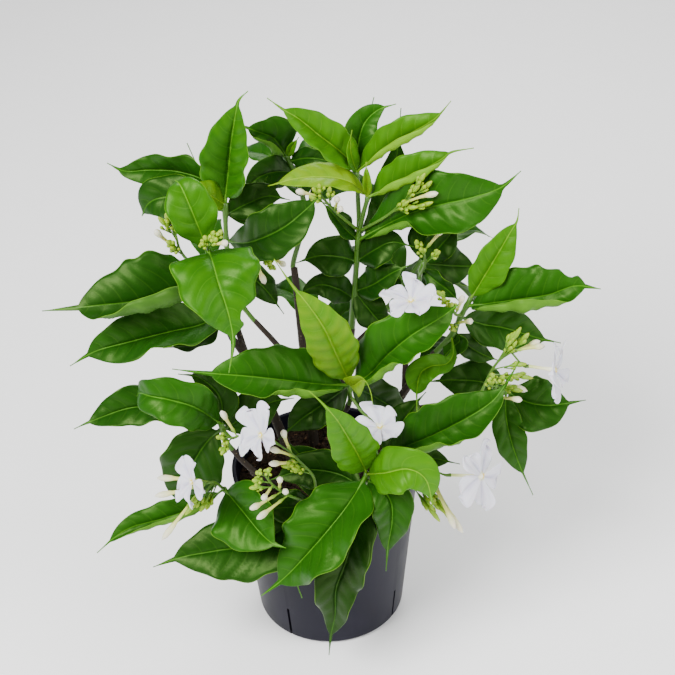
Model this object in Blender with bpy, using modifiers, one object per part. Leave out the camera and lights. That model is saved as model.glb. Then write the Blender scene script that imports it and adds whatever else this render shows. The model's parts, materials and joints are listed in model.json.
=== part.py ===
"""Potted pinwheel jasmine: a bushy shrub with white blooms in a tapered nursery pot.

Sizes are millimetres in this file and become metres when a mesh is made.
The origin is the middle of the pot's flat base, with +Z up and the front of the plant at -Y.
Places of leaves, blooms and buds are photo points: two pixels of the 675 x 675 photograph
and the Y in millimetres at which the line of sight through them stops.
"""
import math
from typing import NamedTuple

import bmesh
import bpy
from mathutils import Vector

MM = 0.001
COLLECTION = "potted_pinwheel_jasmine"
CUTTERS = "cutters"

# Pot and soil
POT_HEIGHT = 143.0
POT_BASE_RADIUS = 60.0
POT_TOP_RADIUS = 74.5
POT_WALL = 2.4
POT_FLOOR = 3.0
POT_FOOT_BEVEL = 3.0
RIM_DEPTH = 5.0
RIM_WIDTH = 1.2
SLIT_WIDTH = 2.2
SLIT_HEIGHT = 34.0
SLIT_COUNT = 4
FIRST_SLIT_ANGLE = -124.0
SOIL_TOP = 129.0
SOIL_CROWN = 3.0
ROUND_STEPS = 36

# Fits
GAP = 0.3
HOLE_GAP = 0.45

# Camera of the photograph, which turns pixels into places
PHOTO_WIDTH = 675.0
LENS = 85.0
SENSOR = 36.0
CAMERA_PLACE = Vector((13.0, -998.0, 950.0))
CAMERA_PITCH = 34.5
CAMERA_ROLL = 2.09

# Foliage
BLADE_THICKNESS = 0.8
LEAF_SEGMENTS = ((92.0, 6), (66.0, 5), (0.0, 4))
PETIOLE_SHARE = 0.05
PETIOLE_HALF_WIDTH = 0.07
TIP_HALF_WIDTH = 0.55
PATH_SAMPLES = 60

# Stems, stalks, buds and petals
UNION_SOLVER = "MANIFOLD"
STEM_STEP = 21.0
AXIS_STEPS = 12
STRAIGHT_START = 5.0
PAIR_STEP = 0.3
PAIR_SHRINK = 0.12
TOP_HANG = 0.10
HANG_STEP = 0.16
BACK_LEAF_ARCH = ((0.0, 0.0, 0.0), (0.32, 0.16, 0.0), (0.66, 0.14, 0.4), (0.96, 0.0, 1.2))
BACK_LEAF_HALF = 0.2
BACK_LEAF_PHASE = 40.0
BACK_STEM_RADIUS = 2.0
BACK_STEM_TIP = 1.5
STALK_RADIUS = 1.3
BLOOM_STALK_RADII = (0.9, 1.2, 1.5)
LEAST_ACROSS = 0.4
ALONG_STEM = 0.8
STALK_STRAIGHT = 2.0
STALK_TIP = 0.8
BLOOM_STALK_BACK = 6.0
CALYX_LENGTH = 4.0
SMALL_BUD = ((0.0, 0.6), (0.74, 2.0), (1.0, 0.8))
LONG_BUD = ((0.0, 0.7), (0.35, 1.4), (0.82, 2.4), (1.0, 0.9))
BUDS_FROM = 0.5
BUDS_TO = 0.97
TUBE_RADIUS = 1.3
THROAT_RADIUS = 2.6
PETALS = 5
PETAL_OUTLINE = ((0.07, 0.14), (0.42, 0.66), (0.76, 1.0), (1.0, 0.6))
PETAL_SINK = 0.7
PETAL_HALF_WIDTH = 0.48
PETAL_LEFT = 1.1
PETAL_RIGHT = 0.9
PETAL_SKEW = 0.18
PETAL_LEAN = 0.16
PETAL_FLATTENING = 0.3
SIDEWAYS = 0.8

# Slits: how far their cutters reach across the wall
SLIT_DEPTH = 12.0
SLIT_CENTRE = 60.0

COLOURS = {
    "pot": ((0.035, 0.032, 0.048), 0.45),
    "soil": ((0.045, 0.028, 0.018), 0.95),
    "woody": ((0.115, 0.070, 0.040), 0.85),
    "leaf": ((0.045, 0.170, 0.012), 0.40),
    "bud": ((0.480, 0.560, 0.160), 0.50),
    "bloom": ((0.860, 0.850, 0.880), 0.55),
}


def camera_axes():
    """Right, up and forward of the photograph's camera."""
    pitch = math.radians(CAMERA_PITCH)
    roll = math.radians(CAMERA_ROLL)
    forward = Vector((0.0, math.cos(pitch), -math.sin(pitch)))
    level_right = Vector((1.0, 0.0, 0.0))
    level_up = level_right.cross(forward)
    right = math.cos(roll) * level_right - math.sin(roll) * level_up
    return right, right.cross(forward), forward


CAMERA_RIGHT, CAMERA_UP, CAMERA_FORWARD = camera_axes()


def seen(px, py, y):
    """The place at depth y that the photograph shows at the pixel (px, py)."""
    focal = PHOTO_WIDTH * LENS / SENSOR
    middle = PHOTO_WIDTH / 2
    ray = CAMERA_FORWARD + CAMERA_RIGHT * ((px - middle) / focal) - CAMERA_UP * ((py - middle) / focal)
    return CAMERA_PLACE + ray * ((y - CAMERA_PLACE.y) / ray.y)


class Leaf(NamedTuple):
    """One leaf: path of photo points from its stem to its tip.

    roll lifts its left edge toward the viewer and fold lifts both edges, in degrees at even
    steps from base to tip. Left is the left hand of someone who looks from base to tip.
    """

    path: tuple
    half: float
    roll: tuple = (0.0, 0.0)
    fold: tuple = (20.0, 15.0)
    wave: float = 2.5
    waves: float = 2.5
    phase: float = 0.0
    drip: float = 0.16
    belly: float = 0.46
    world: bool = False


class Stem(NamedTuple):
    """A round stem: path of photo points and its radius at each end."""

    path: tuple
    start_radius: float
    end_radius: float


class Shoot(NamedTuple):
    """A leafy stem: its stems and its leaves make one body."""

    stems: tuple
    leaves: tuple


# Woody stems: each one's trunk and branches in millimetres, from inside the soil upward.
# A branch starts on the trunk, and a leafy stem grows on from the end of each of them.
WOODY_STEMS = {
    "woody_stem_left": {
        "trunk": Stem(
            ((-24, 0, 100), (-26, -1, 140), (-38, -2, 190), (-52, -4, 240), (-62, -6, 268)),
            4.6, 3.0,
        ),
        "left_upper": Stem(((-57, -5, 254), (-64, 8, 278), (-66, 16, 298)), 2.6, 2.2),
        "left_front": Stem(((-60, -5, 258), (-66, -10, 274), (-69, -16, 288)), 2.8, 2.3),
    },
    "woody_stem_low_left": {
        "trunk": Stem(((-30, -30, 100), (-33, -31, 136), (-44, -38, 156), (-56, -44, 172)), 3.8, 2.8),
        "low_left_upper": Stem(((-54, -43, 170), (-64, -46, 186), (-70, -48, 198)), 2.4, 2.1),
        "low_left_lower": Stem(((-46, -39, 158), (-56, -46, 158), (-65, -54, 161)), 2.4, 2.0),
    },
    "woody_stem_middle": {
        "trunk": Stem(
            ((4, 14, 100), (6, 16, 140), (14, 26, 190), (21, 34, 228), (24, 38, 246)),
            4.8, 3.2,
        ),
        "centre": Stem(((10, 21, 166), (14, 6, 186), (18, -8, 202), (20, -17, 214)), 2.8, 2.2),
    },
    "woody_stem_front": {
        "trunk": Stem(((6, -36, 100), (8, -38, 138), (13, -47, 148), (19, -56, 157)), 3.6, 2.4),
        "front_left": Stem(((8, -38, 138), (1, -45, 146), (-5, -50, 150)), 2.2, 1.9),
        "front_right": Stem(((10, -41, 144), (19, -37, 154), (28, -34, 162)), 2.3, 2.0),
    },
    "woody_stem_right": {
        "trunk": Stem(((32, 2, 100), (34, 2, 140), (50, 3, 182), (72, 4, 222), (88, 4, 244)), 4.4, 2.8),
        "right_lower": Stem(((52, 3, 187), (78, -2, 196), (100, -6, 202)), 2.6, 2.1),
        "right_back": Stem(((64, 4, 208), (66, 20, 236), (68, 30, 256)), 2.6, 2.1),
    },
    "woody_stem_back": {
        "trunk": Stem(
            ((-8, 40, 100), (-10, 42, 140), (-14, 64, 190), (-18, 86, 240), (-20, 96, 268)),
            4.4, 2.8,
        ),
        "back_left": Stem(((-13, 58, 178), (-34, 74, 204), (-54, 84, 226)), 2.6, 2.1),
        "back_right": Stem(((-12, 52, 162), (16, 76, 190), (44, 90, 214)), 2.6, 2.1),
        "back_low": Stem(((-10, 45, 150), (-6, 66, 164), (-4, 84, 176)), 2.4, 2.0),
    },
}

# Leafy stems that the photograph shows. Each grows on from the woody branch named first.
SHOOTS = {
    "leafy_stem_top": ("woody_stem_middle", "trunk", Shoot(
        stems=(
            Stem(((356, 270, 40), (358, 240, 40), (363, 215, 39), (368, 197, 38)), 2.8, 1.6),
            Stem(((357, 250, 40), (359, 225, 44), (358, 200, 47), (357, 172, 49)), 2.2, 1.5),
        ),
        leaves=(
            Leaf(
                ((367, 196, 38), (352, 183, 36), (330, 177, 34), (300, 178, 30), (268, 186, 28)),
                13, roll=(45, 40), fold=(12, 8), wave=1.0, drip=0.1,
            ),
            Leaf(
                ((369, 196, 38), (390, 186, 32), (412, 176, 27), (440, 160, 22), (452, 152, 20),
                 (474, 148, 19)),
                17, roll=(-46, -46, -40), fold=(58, 56, 40), wave=1.5, drip=0.2,
            ),
            Leaf(
                ((358, 171, 49), (374, 157, 44), (395, 142, 40), (425, 125, 35), (438, 116, 32),
                 (451, 101, 30)),
                15, roll=(-44, -44, -40), fold=(60, 56, 40), wave=1.5, drip=0.14, belly=0.5,
            ),
            Leaf(
                ((357, 171, 49), (344, 155, 45), (320, 136, 40), (299, 119, 36), (284, 110, 34),
                 (267, 98, 32)),
                17, roll=(18, 12), fold=(42, 30), wave=1.5, drip=0.17,
            ),
            Leaf(
                ((357, 168, 50), (358, 146, 60), (364, 124, 66), (378, 110, 68), (396, 104, 68)),
                14, roll=(10, -20), fold=(38, 20), wave=2.0, drip=0.14,
            ),
            Leaf(
                ((367, 197, 38), (367, 184, 35), (366, 162, 32)),
                4.5, roll=(0, 0), fold=(40, 40), wave=0.0,
            ),
            Leaf(
                ((357, 173, 49), (352, 158, 42), (350, 144, 38), (352, 130, 36)),
                6, roll=(30, 30), wave=0.5,
            ),
            Leaf(
                ((358, 236, 42), (379, 216, 56), (391, 190, 62), (397, 155, 66), (401, 108, 66)),
                14, roll=(0, 0), fold=(25, 15), drip=0.26,
            ),
            Leaf(
                ((359, 240, 40), (378, 229, 31), (410, 214, 22), (440, 205, 16), (470, 198, 12),
                 (500, 188, 10), (521, 171, 10)),
                27, roll=(-44, -32, 8, 8), fold=(58, 46, 12, 10), wave=4.0, waves=3.0, phase=0.5,
                drip=0.13, belly=0.56,
            ),
            Leaf(
                ((357, 240, 40), (345, 229, 38), (332, 213, 37), (320, 200, 36)),
                9, roll=(35, 30), wave=1.0,
            ),
            Leaf(
                ((356, 262, 40), (340, 257, 34), (318, 256, 30), (296, 263, 26)),
                17, roll=(0, 0), fold=(15, 15),
            ),
            Leaf(((358, 262, 40), (374, 250, 35), (392, 242, 32), (414, 247, 30)), 15, roll=(-10, 0)),
            Leaf(((356, 292, 40), (372, 285, 33), (392, 273, 28), (412, 264, 27)), 14, roll=(-10, -10)),
            Leaf(((355, 300, 38), (338, 289, 30), (318, 285, 26), (292, 298, 22)), 12, roll=(0, 0)),
            Leaf(
                ((357, 172, 50), (362, 150, 68), (367, 125, 76), (374, 97, 78)),
                7, roll=(0, 0), drip=0.3,
            ),
            Leaf(((356, 292, 40), (368, 308, 34), (380, 322, 30), (394, 334, 28)), 14, roll=(0, 0)),
        ),
    )),
    "leafy_stem_upper_left": ("woody_stem_left", "left_upper", Shoot(
        stems=(Stem(((228, 262, 22), (226, 235, 27), (225, 203, 31)), 2.1, 1.7),),
        leaves=(
            Leaf(
                ((225, 203, 31), (228, 172, 30), (231, 142, 27), (236, 112, 24), (239, 100, 23),
                 (248, 91, 22)),
                23, roll=(-17, -17), fold=(40, 36), wave=1.5, drip=0.16, belly=0.42,
            ),
            Leaf(
                ((225, 205, 31), (209, 195, 18), (188, 183, 10)),
                11, roll=(35, 35), wave=0.5, drip=0.1,
            ),
            Leaf(
                ((224, 204, 32), (208, 186, 54), (197, 165, 64), (187, 143, 68)),
                9, wave=1.0, drip=0.4,
            ),
            Leaf(
                ((225, 208, 31), (208, 183, 40), (180, 172, 48), (150, 170, 52), (125, 171, 53),
                 (107, 163, 53)),
                17, roll=(-8, -8), fold=(44, 34), wave=3.5, waves=3.5, phase=0.6, drip=0.1,
            ),
            Leaf(
                ((226, 212, 30), (205, 203, 28), (180, 197, 29), (160, 198, 30), (148, 204, 32),
                 (142, 216, 34)),
                17, roll=(0, 0), fold=(10, 5), wave=3.0, drip=0.05, belly=0.6,
            ),
            Leaf(((226, 214, 31), (244, 206, 42), (258, 192, 50), (268, 176, 56)), 17, roll=(0, 0)),
            Leaf(
                ((227, 240, 26), (244, 243, 8), (262, 238, 0), (284, 227, -4), (303, 212, -2),
                 (318, 198, 4)),
                20, roll=(0, 0), fold=(15, 20), wave=2.0, drip=0.05, belly=0.58,
            ),
            Leaf(((228, 262, 22), (248, 274, 27), (266, 290, 30), (284, 314, 30)), 12, roll=(0, 0)),
            Leaf(((226, 214, 31), (246, 204, 36), (268, 196, 40), (290, 200, 40)), 15, roll=(0, 0)),
        ),
    )),
    "leafy_stem_left_front": ("woody_stem_left", "left_front", Shoot(
        stems=(Stem(((222, 312, -26), (216, 285, -34), (208, 250, -40)), 2.2, 1.7),),
        leaves=(
            Leaf(
                ((207, 250, -40), (197, 224, -42), (187, 200, -39), (180, 185, -33), (175, 180, -24)),
                18, roll=(0, 0), fold=(26, 10), wave=1.0, drip=0.06, belly=0.56,
            ),
            Leaf(
                ((209, 250, -40), (213, 262, -62), (219, 284, -80), (228, 312, -90), (233, 342, -94),
                 (229, 373, -95)),
                30, roll=(0, -14), fold=(8, 8), wave=4.0, waves=3.0, phase=2.4, drip=0.28, belly=0.37,
            ),
            Leaf(
                ((208, 256, -38), (192, 280, -50), (160, 294, -60), (130, 302, -64), (100, 305, -66),
                 (75, 308, -66), (42, 311, -66)),
                31, roll=(48, 42, 5), fold=(56, 50, 15), wave=2.0, drip=0.2,
            ),
            Leaf(
                ((222, 316, -28), (200, 325, -44), (170, 332, -54), (130, 342, -60), (96, 351, -62),
                 (70, 366, -62)),
                23, roll=(20, 22, -4), fold=(40, 40, 18), wave=3.0, waves=2.5, phase=0.4, drip=0.14,
                belly=0.5,
            ),
            Leaf(
                ((222, 322, -26), (205, 338, -30), (186, 345, -32), (163, 348, -34)),
                10, roll=(40, 40),
            ),
        ),
    )),
    "leafy_stem_low_left_upper": ("woody_stem_low_left", "low_left_upper", Shoot(
        stems=(Stem(((226, 440, -48), (221, 424, -49)), 2.0, 1.6),),
        leaves=(
            Leaf(
                ((221, 424, -49), (196, 408, -72), (170, 400, -79), (150, 396, -76), (140, 393, -67),
                 (137, 396, -54)),
                18, roll=(4, 0), fold=(26, 10), wave=2.0, drip=0.08, belly=0.5,
            ),
            Leaf(
                ((220, 424, -48), (195, 416, -48), (165, 408, -50), (130, 408, -52), (92, 421, -54),
                 (74, 429, -54)),
                17, roll=(22, 10), fold=(30, 22), wave=3.0, waves=3.0, drip=0.12, belly=0.56,
            ),
            Leaf(
                ((222, 428, -48), (207, 442, -52), (193, 464, -55), (182, 490, -56), (176, 514, -56)),
                25, roll=(0, 0), fold=(12, 12), wave=2.0,
            ),
            Leaf(((223, 428, -47), (220, 398, -38), (200, 378, -36), (178, 374, -36)), 14, roll=(0, 0)),
            Leaf(((224, 430, -48), (248, 414, -32), (272, 402, -24), (294, 398, -20)), 17, roll=(0, 0)),
        ),
    )),
    "leafy_stem_low_left_lower": ("woody_stem_low_left", "low_left_lower", Shoot(
        stems=(Stem(((229, 494, -65), (224, 489, -69)), 1.9, 1.6),),
        leaves=(
            Leaf(
                ((224, 489, -69), (200, 505, -76), (165, 518, -80), (132, 527, -86), (114, 538, -90),
                 (97, 553, -92)),
                13, roll=(38, 34, 20), fold=(48, 44, 30), wave=1.5, drip=0.14,
            ),
            Leaf(
                ((225, 490, -70), (243, 511, -90), (260, 532, -106), (272, 543, -116),
                 (286, 548, -121)),
                28, roll=(25, 15), fold=(30, 18), wave=2.5, waves=2.5, drip=0.14,
            ),
        ),
    )),
    "leafy_stem_centre": ("woody_stem_middle", "centre", Shoot(
        stems=(Stem(((350, 394, -26), (350, 382, -30)), 2.0, 1.6),),
        leaves=(
            Leaf(
                ((349, 384, -30), (338, 358, -44), (325, 330, -52), (309, 306, -54), (292, 285, -52),
                 (274, 259, -50)),
                18.5, roll=(0, 0), fold=(14, 14), wave=1.0, drip=0.22, belly=0.48,
            ),
            Leaf(
                ((349, 386, -30), (318, 384, -44), (282, 380, -54), (245, 376, -60), (206, 373, -62),
                 (172, 369, -62)),
                26, roll=(34, 26, 0), fold=(42, 36, 14), wave=2.5, waves=3.0, drip=0.2, belly=0.5,
            ),
            Leaf(
                ((352, 386, -30), (370, 374, -36), (388, 355, -42), (412, 335, -44), (440, 318, -42),
                 (459, 304, -38)),
                25, roll=(-38, -28, -4), fold=(50, 40, 14), wave=2.0, drip=0.06, belly=0.5,
            ),
            Leaf(
                ((351, 388, -30), (356, 384, -46), (364, 380, -59), (370, 390, -67), (373, 405, -71)),
                9.5, roll=(20, 0), fold=(20, 20), wave=0.5, drip=0.3, belly=0.4,
            ),
            Leaf(((350, 385, -29), (325, 403, -16), (300, 420, -16), (278, 440, -16)), 17, roll=(0, 0)),
            Leaf(((350, 384, -29), (375, 397, -12), (400, 412, -6), (424, 424, -4)), 16, roll=(0, 0)),
        ),
    )),
    "leafy_stem_front": ("woody_stem_front", "trunk", Shoot(
        stems=(Stem(((362, 492, -68), (367, 473, -72)), 2.0, 1.6),),
        leaves=(
            Leaf(
                ((366, 476, -72), (348, 505, -92), (326, 533, -104), (302, 560, -110),
                 (282, 580, -111), (261, 596, -111)),
                30, roll=(22, 18), fold=(28, 22), wave=5.5, waves=3.5, phase=1.2, drip=0.16, belly=0.44,
            ),
            Leaf(
                ((368, 475, -72), (384, 473, -92), (408, 469, -103), (426, 480, -107),
                 (433, 508, -108)),
                18, roll=(-8, 0), fold=(15, 10), wave=1.0, drip=0.12, belly=0.5,
            ),
            Leaf(
                ((367, 471, -72), (359, 457, -87), (350, 441, -97), (337, 420, -103), (322, 403, -106),
                 (309, 391, -107)),
                17.5, roll=(0, 0), fold=(14, 14), wave=1.0, drip=0.18,
            ),
            Leaf(
                ((366, 480, -71), (380, 487, -84), (391, 502, -92), (392, 522, -96), (388, 546, -98),
                 (386, 571, -99)),
                18, roll=(0, 0), fold=(24, 20), wave=2.0, drip=0.22, belly=0.3,
            ),
            Leaf(
                ((364, 486, -70), (362, 505, -84), (354, 535, -97), (345, 565, -104), (336, 590, -108),
                 (335, 615, -110), (331, 635, -111), (329, 655, -111)),
                20, roll=(4, 0), fold=(24, 20), wave=5.0, waves=3.0, phase=0.9, drip=0.15, belly=0.42,
            ),
            Leaf(
                ((363, 486, -68), (338, 474, -56), (305, 470, -52), (270, 480, -54)),
                17, roll=(0, 0), drip=0.1,
            ),
        ),
    )),
    "leafy_stem_front_left": ("woody_stem_front", "front_left", Shoot(
        stems=(Stem(((316, 505, -68),), 1.8, 1.5),),
        leaves=(
            Leaf(
                ((316, 506, -68), (285, 528, -80), (250, 545, -86), (215, 551, -89), (182, 557, -91),
                 (153, 567, -92)),
                28, roll=(8, 2), fold=(12, 12), wave=2.0, waves=3.5, drip=0.14,
            ),
            Leaf(
                ((316, 506, -67), (313, 530, -86), (305, 560, -94), (297, 580, -97), (302, 598, -98)),
                11, roll=(0, 0), wave=1.0, drip=0.25,
            ),
            Leaf(((320, 500, -62), (314, 476, -46), (300, 455, -40), (284, 440, -38)), 18, roll=(0, 0)),
            Leaf(((316, 505, -68), (296, 507, -75), (274, 509, -80), (254, 516, -82)), 14, roll=(0, 0)),
        ),
    )),
    "leafy_stem_front_right": ("woody_stem_front", "front_right", Shoot(
        stems=(Stem(((378, 462, -34), (384, 455, -38)), 1.9, 1.6),),
        leaves=(
            Leaf(
                ((384, 456, -38), (402, 448, -48), (432, 436, -56), (465, 419, -60), (490, 403, -58),
                 (503, 388, -54), (519, 362, -50)),
                25, roll=(-36, -14, 0), fold=(54, 40, 18), wave=2.5, drip=0.18, belly=0.5,
            ),
            Leaf(((384, 457, -38), (405, 457, -40), (430, 458, -42), (460, 464, -44)), 11, roll=(0, 0)),
            Leaf(((384, 456, -37), (398, 430, -22), (412, 408, -16), (426, 392, -14)), 15, roll=(0, 0)),
        ),
    )),
    "leafy_stem_right": ("woody_stem_right", "trunk", Shoot(
        stems=(Stem(((452, 335, 2), (460, 318, 1), (471, 298, 0)), 2.3, 1.7),),
        leaves=(
            Leaf(
                ((470, 300, 0), (485, 275, -2), (500, 250, -2), (511, 231, 0), (517, 221, 1),
                 (519, 208, 2)),
                14.5, roll=(10, 6), fold=(24, 20), wave=1.0, drip=0.16,
            ),
            Leaf(
                ((467, 306, 0), (485, 304, -8), (515, 300, -12), (548, 295, -14), (575, 286, -14),
                 (601, 289, -14)),
                25, roll=(-40, -36, -4), fold=(56, 50, 18), wave=3.0, waves=3.0, phase=1.0, drip=0.12,
                belly=0.52,
            ),
            Leaf(
                ((462, 316, 2), (482, 324, 8), (505, 328, 10), (538, 338, 10), (561, 343, 10)),
                18, roll=(0, 0), fold=(15, 12), wave=2.0, drip=0.16,
            ),
            Leaf(
                ((456, 330, 2), (460, 340, 0), (452, 348, 0), (442, 359, -2)),
                9, roll=(20, 20), drip=0.1,
            ),
            Leaf(
                ((455, 333, 3), (466, 344, 6), (482, 354, 8), (500, 361, 8)),
                10, roll=(0, 0), drip=0.12,
            ),
            Leaf(
                ((453, 337, 1), (453, 354, -16), (446, 364, -24), (432, 366, -30), (421, 373, -32),
                 (417, 390, -32), (417, 415, -32)),
                11, roll=(20, 0), fold=(15, 30), wave=1.0, drip=0.22, belly=0.7,
            ),
            Leaf(((453, 337, 3), (442, 348, 26), (427, 361, 34), (408, 378, 32)), 15, roll=(0, 0)),
        ),
    )),
    "leafy_stem_right_back": ("woody_stem_right", "right_back", Shoot(
        stems=(Stem(((418, 296, 38), (420, 275, 37), (424, 262, 36)), 2.0, 1.6),),
        leaves=(
            Leaf(
                ((424, 263, 36), (444, 265, 40), (462, 266, 43), (477, 266, 45)),
                16, roll=(0, 0), fold=(10, 10), drip=0.08,
            ),
            Leaf(
                ((424, 264, 36), (440, 246, 34), (452, 232, 32), (458, 216, 30)),
                12, roll=(0, 0), drip=0.2,
            ),
            Leaf(
                ((422, 270, 36), (436, 281, 26), (448, 290, 22), (459, 301, 20)),
                9, roll=(30, 30), drip=0.1,
            ),
            Leaf(((424, 263, 37), (430, 238, 44), (442, 222, 50), (458, 205, 56)), 18, roll=(0, 0)),
        ),
    )),
    "leafy_stem_right_lower": ("woody_stem_right", "right_lower", Shoot(
        stems=(Stem(((490, 400, -9), (506, 391, -11)), 1.9, 1.6),),
        leaves=(
            Leaf(
                ((505, 392, -11), (482, 382, 6), (450, 380, 4), (426, 382, 6)),
                17, roll=(0, 0), fold=(5, 15),
            ),
            Leaf(
                ((507, 392, -11), (506, 415, -28), (511, 440, -36), (520, 466, -40), (533, 495, -41)),
                13, roll=(0, 0), fold=(18, 15), wave=1.0, drip=0.26,
            ),
            Leaf(
                ((508, 392, -11), (525, 401, -18), (545, 405, -22), (562, 404, -23), (586, 400, -23)),
                23, roll=(0, 0), fold=(20, 16), wave=2.0, drip=0.22,
            ),
        ),
    )),
    "leafy_stem_back_top": ("woody_stem_back", "trunk", Shoot(
        stems=(Stem(((305, 215, 98), (297, 180, 96), (287, 156, 94)), 2.2, 1.5),),
        leaves=(
            Leaf(
                ((287, 156, 94), (274, 139, 84), (258, 132, 79), (238, 124, 76)),
                19, roll=(34, 34), fold=(46, 40),
            ),
            Leaf(
                ((287, 157, 94), (292, 147, 90), (299, 137, 86)),
                4, roll=(0, 0), fold=(30, 30), wave=0.0,
            ),
            Leaf(((289, 162, 94), (306, 158, 86), (325, 160, 80), (345, 167, 76)), 9, roll=(0, 0)),
            Leaf(((294, 173, 95), (276, 172, 84), (258, 178, 74), (238, 196, 68)), 14, roll=(0, 0)),
            Leaf(((-16, 96, 352), (2, 116, 362), (24, 136, 358), (44, 150, 342)), 17, world=True),
            Leaf(((-18, 96, 352), (-38, 114, 362), (-62, 130, 354), (-84, 140, 336)), 17, world=True),
            Leaf(((-16, 98, 328), (-14, 124, 336), (-10, 150, 328), (-6, 172, 306)), 20, world=True),
            Leaf(((-16, 98, 326), (12, 106, 332), (44, 114, 326), (74, 122, 308)), 18, world=True),
        ),
    )),
}


class Spray(NamedTuple):
    """A flower cluster: its stalk, and the photo points where its buds end.

    small buds stay closed and green, long ones are cream tubes with a swollen white end.
    """

    stalk: tuple
    small: tuple = ()
    long: tuple = ()


class Bloom(NamedTuple):
    """An open flower: the place of its eye, the far end of its tube and the way it faces.

    spin turns its petals round the eye and cup lifts them off a flat disc, in degrees.
    """

    eye: tuple
    tube_end: tuple
    facing: tuple
    radius: float
    spin: float
    cup: float


# Flower clusters, each on the leafy stem named first.
SPRAYS = {
    "spray_top_right": ("leafy_stem_top", Spray(
        stalk=((360, 232, 38), (385, 217, 26), (411, 197, 18)),
        small=((425, 173, 16), (432, 181, 15), (420, 184, 15), (409, 201, 14), (418, 207, 13),
               (433, 202, 12)),
        long=((438, 193, 10),),
    )),
    "spray_top_middle": ("leafy_stem_top", Spray(
        stalk=((356, 234, 36), (338, 214, 26), (320, 195, 18)),
        small=((312, 188, 13), (319, 184, 12), (330, 187, 14), (309, 196, 11)),
        long=((296, 191, 8), (337, 198, 10), (341, 208, 12)),
    )),
    "spray_left_front": ("leafy_stem_left_front", Spray(
        stalk=((207, 254, -44), (208, 248, -54), (210, 244, -60)),
        small=((204, 236, -60), (214, 231, -58), (222, 230, -58), (201, 243, -62), (217, 238, -62)),
        long=((228, 243, -64),),
    )),
    "spray_left": ("leafy_stem_left_front", Spray(
        stalk=((204, 268, -34), (190, 262, -32), (180, 250, -32), (176, 236, -34)),
        small=((158, 217, -38), (166, 213, -38), (173, 219, -36), (166, 241, -42), (170, 247, -42)),
        long=((155, 230, -44),),
    )),
    "spray_behind_left": ("leafy_stem_upper_left", Spray(
        stalk=((228, 250, 24), (250, 252, 16), (268, 254, 12)),
        small=((272, 266, 10), (276, 270, 12)),
        long=((265, 284, 6), (286, 266, 8)),
    )),
    "spray_right_back": ("leafy_stem_right_back", Spray(
        stalk=((421, 280, 32), (425, 264, 20), (424, 250, 14)),
        small=((416, 240, 12), (420, 248, 8), (440, 251, 8)),
        long=((444, 227, 6),),
    )),
    "spray_centre_right": ("leafy_stem_right", Spray(
        stalk=((458, 320, -6), (455, 314, -17), (452, 306, -23)),
        small=((436, 291, -24), (442, 298, -26), (446, 303, -28), (452, 303, -30)),
        long=((463, 296, -24),),
    )),
    "spray_right_small": ("leafy_stem_right", Spray(
        stalk=((456, 326, -4), (455, 324, -14), (455, 324, -20)),
        small=((452, 330, -26),),
        long=((473, 321, -24),),
    )),
    "spray_right_large": ("leafy_stem_right_lower", Spray(
        stalk=((485, 401, -14), (481, 394, -32), (496, 364, -34), (514, 350, -34)),
        small=((516, 331, -34), (521, 327, -34), (529, 333, -34), (517, 341, -36), (533, 378, -44),
               (527, 364, -42), (523, 391, -46), (520, 376, -46)),
        long=((545, 346, -36), (540, 341, -30), (527, 391, -42)),
    )),
    "spray_right_low": ("leafy_stem_right_lower", Spray(
        stalk=((497, 397, -18), (493, 396, -40), (497, 385, -53)),
        small=((488, 379, -56), (492, 373, -54), (504, 375, -54)),
        long=((522, 400, -56),),
    )),
    "spray_front_right": ("leafy_stem_front", Spray(
        stalk=((366, 482, -74), (390, 478, -70), (415, 474, -68), (433, 470, -70)),
        small=((438, 508, -80), (446, 514, -82), (440, 522, -86), (452, 522, -82)),
        long=((463, 533, -84), (455, 529, -88)),
    )),
    "spray_front_left": ("leafy_stem_front_left", Spray(
        stalk=((316, 498, -72), (314, 478, -78), (300, 462, -82), (290, 452, -84)),
        small=((286, 462, -88), (292, 468, -90), (281, 466, -88)),
        long=((283, 430, -84), (270, 449, -92), (269, 464, -94)),
    )),
    "spray_front_low": ("leafy_stem_front_left", Spray(
        stalk=((310, 506, -76), (290, 496, -88), (274, 486, -94), (264, 474, -96)),
        small=((252, 480, -98), (256, 472, -98), (268, 468, -96), (249, 488, -98)),
        long=((263, 499, -115), (257, 519, -119), (285, 492, -106), (280, 478, -100), (250, 509, -115)),
    )),
    "spray_low_left": ("leafy_stem_low_left_upper", Spray(
        stalk=((224, 434, -54), (232, 438, -66), (238, 436, -72)),
        small=((216, 437, -76), (222, 445, -76), (221, 455, -78)),
        long=((221, 411, -74),),
    )),
    "spray_lower_left": ("leafy_stem_low_left_lower", Spray(
        stalk=((226, 486, -74), (214, 482, -84), (204, 484, -88)),
        small=((190, 509, -100), (200, 512, -98), (206, 510, -96), (185, 515, -102)),
        long=((157, 478, -86), (155, 496, -88), (162, 540, -104)),
    )),
    "spray_top_front": ("leafy_stem_centre", Spray(
        stalk=((351, 398, -27), (362, 412, -36), (376, 424, -42)),
        small=((388, 420, -38),),
        long=(),
    )),
    "spray_upper_right": ("leafy_stem_right_back", Spray(
        stalk=((417, 292, 30), (412, 300, 14), (410, 306, 0)),
        small=((404, 309, -4), (417, 309, -6)),
        long=(),
    )),
}

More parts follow.
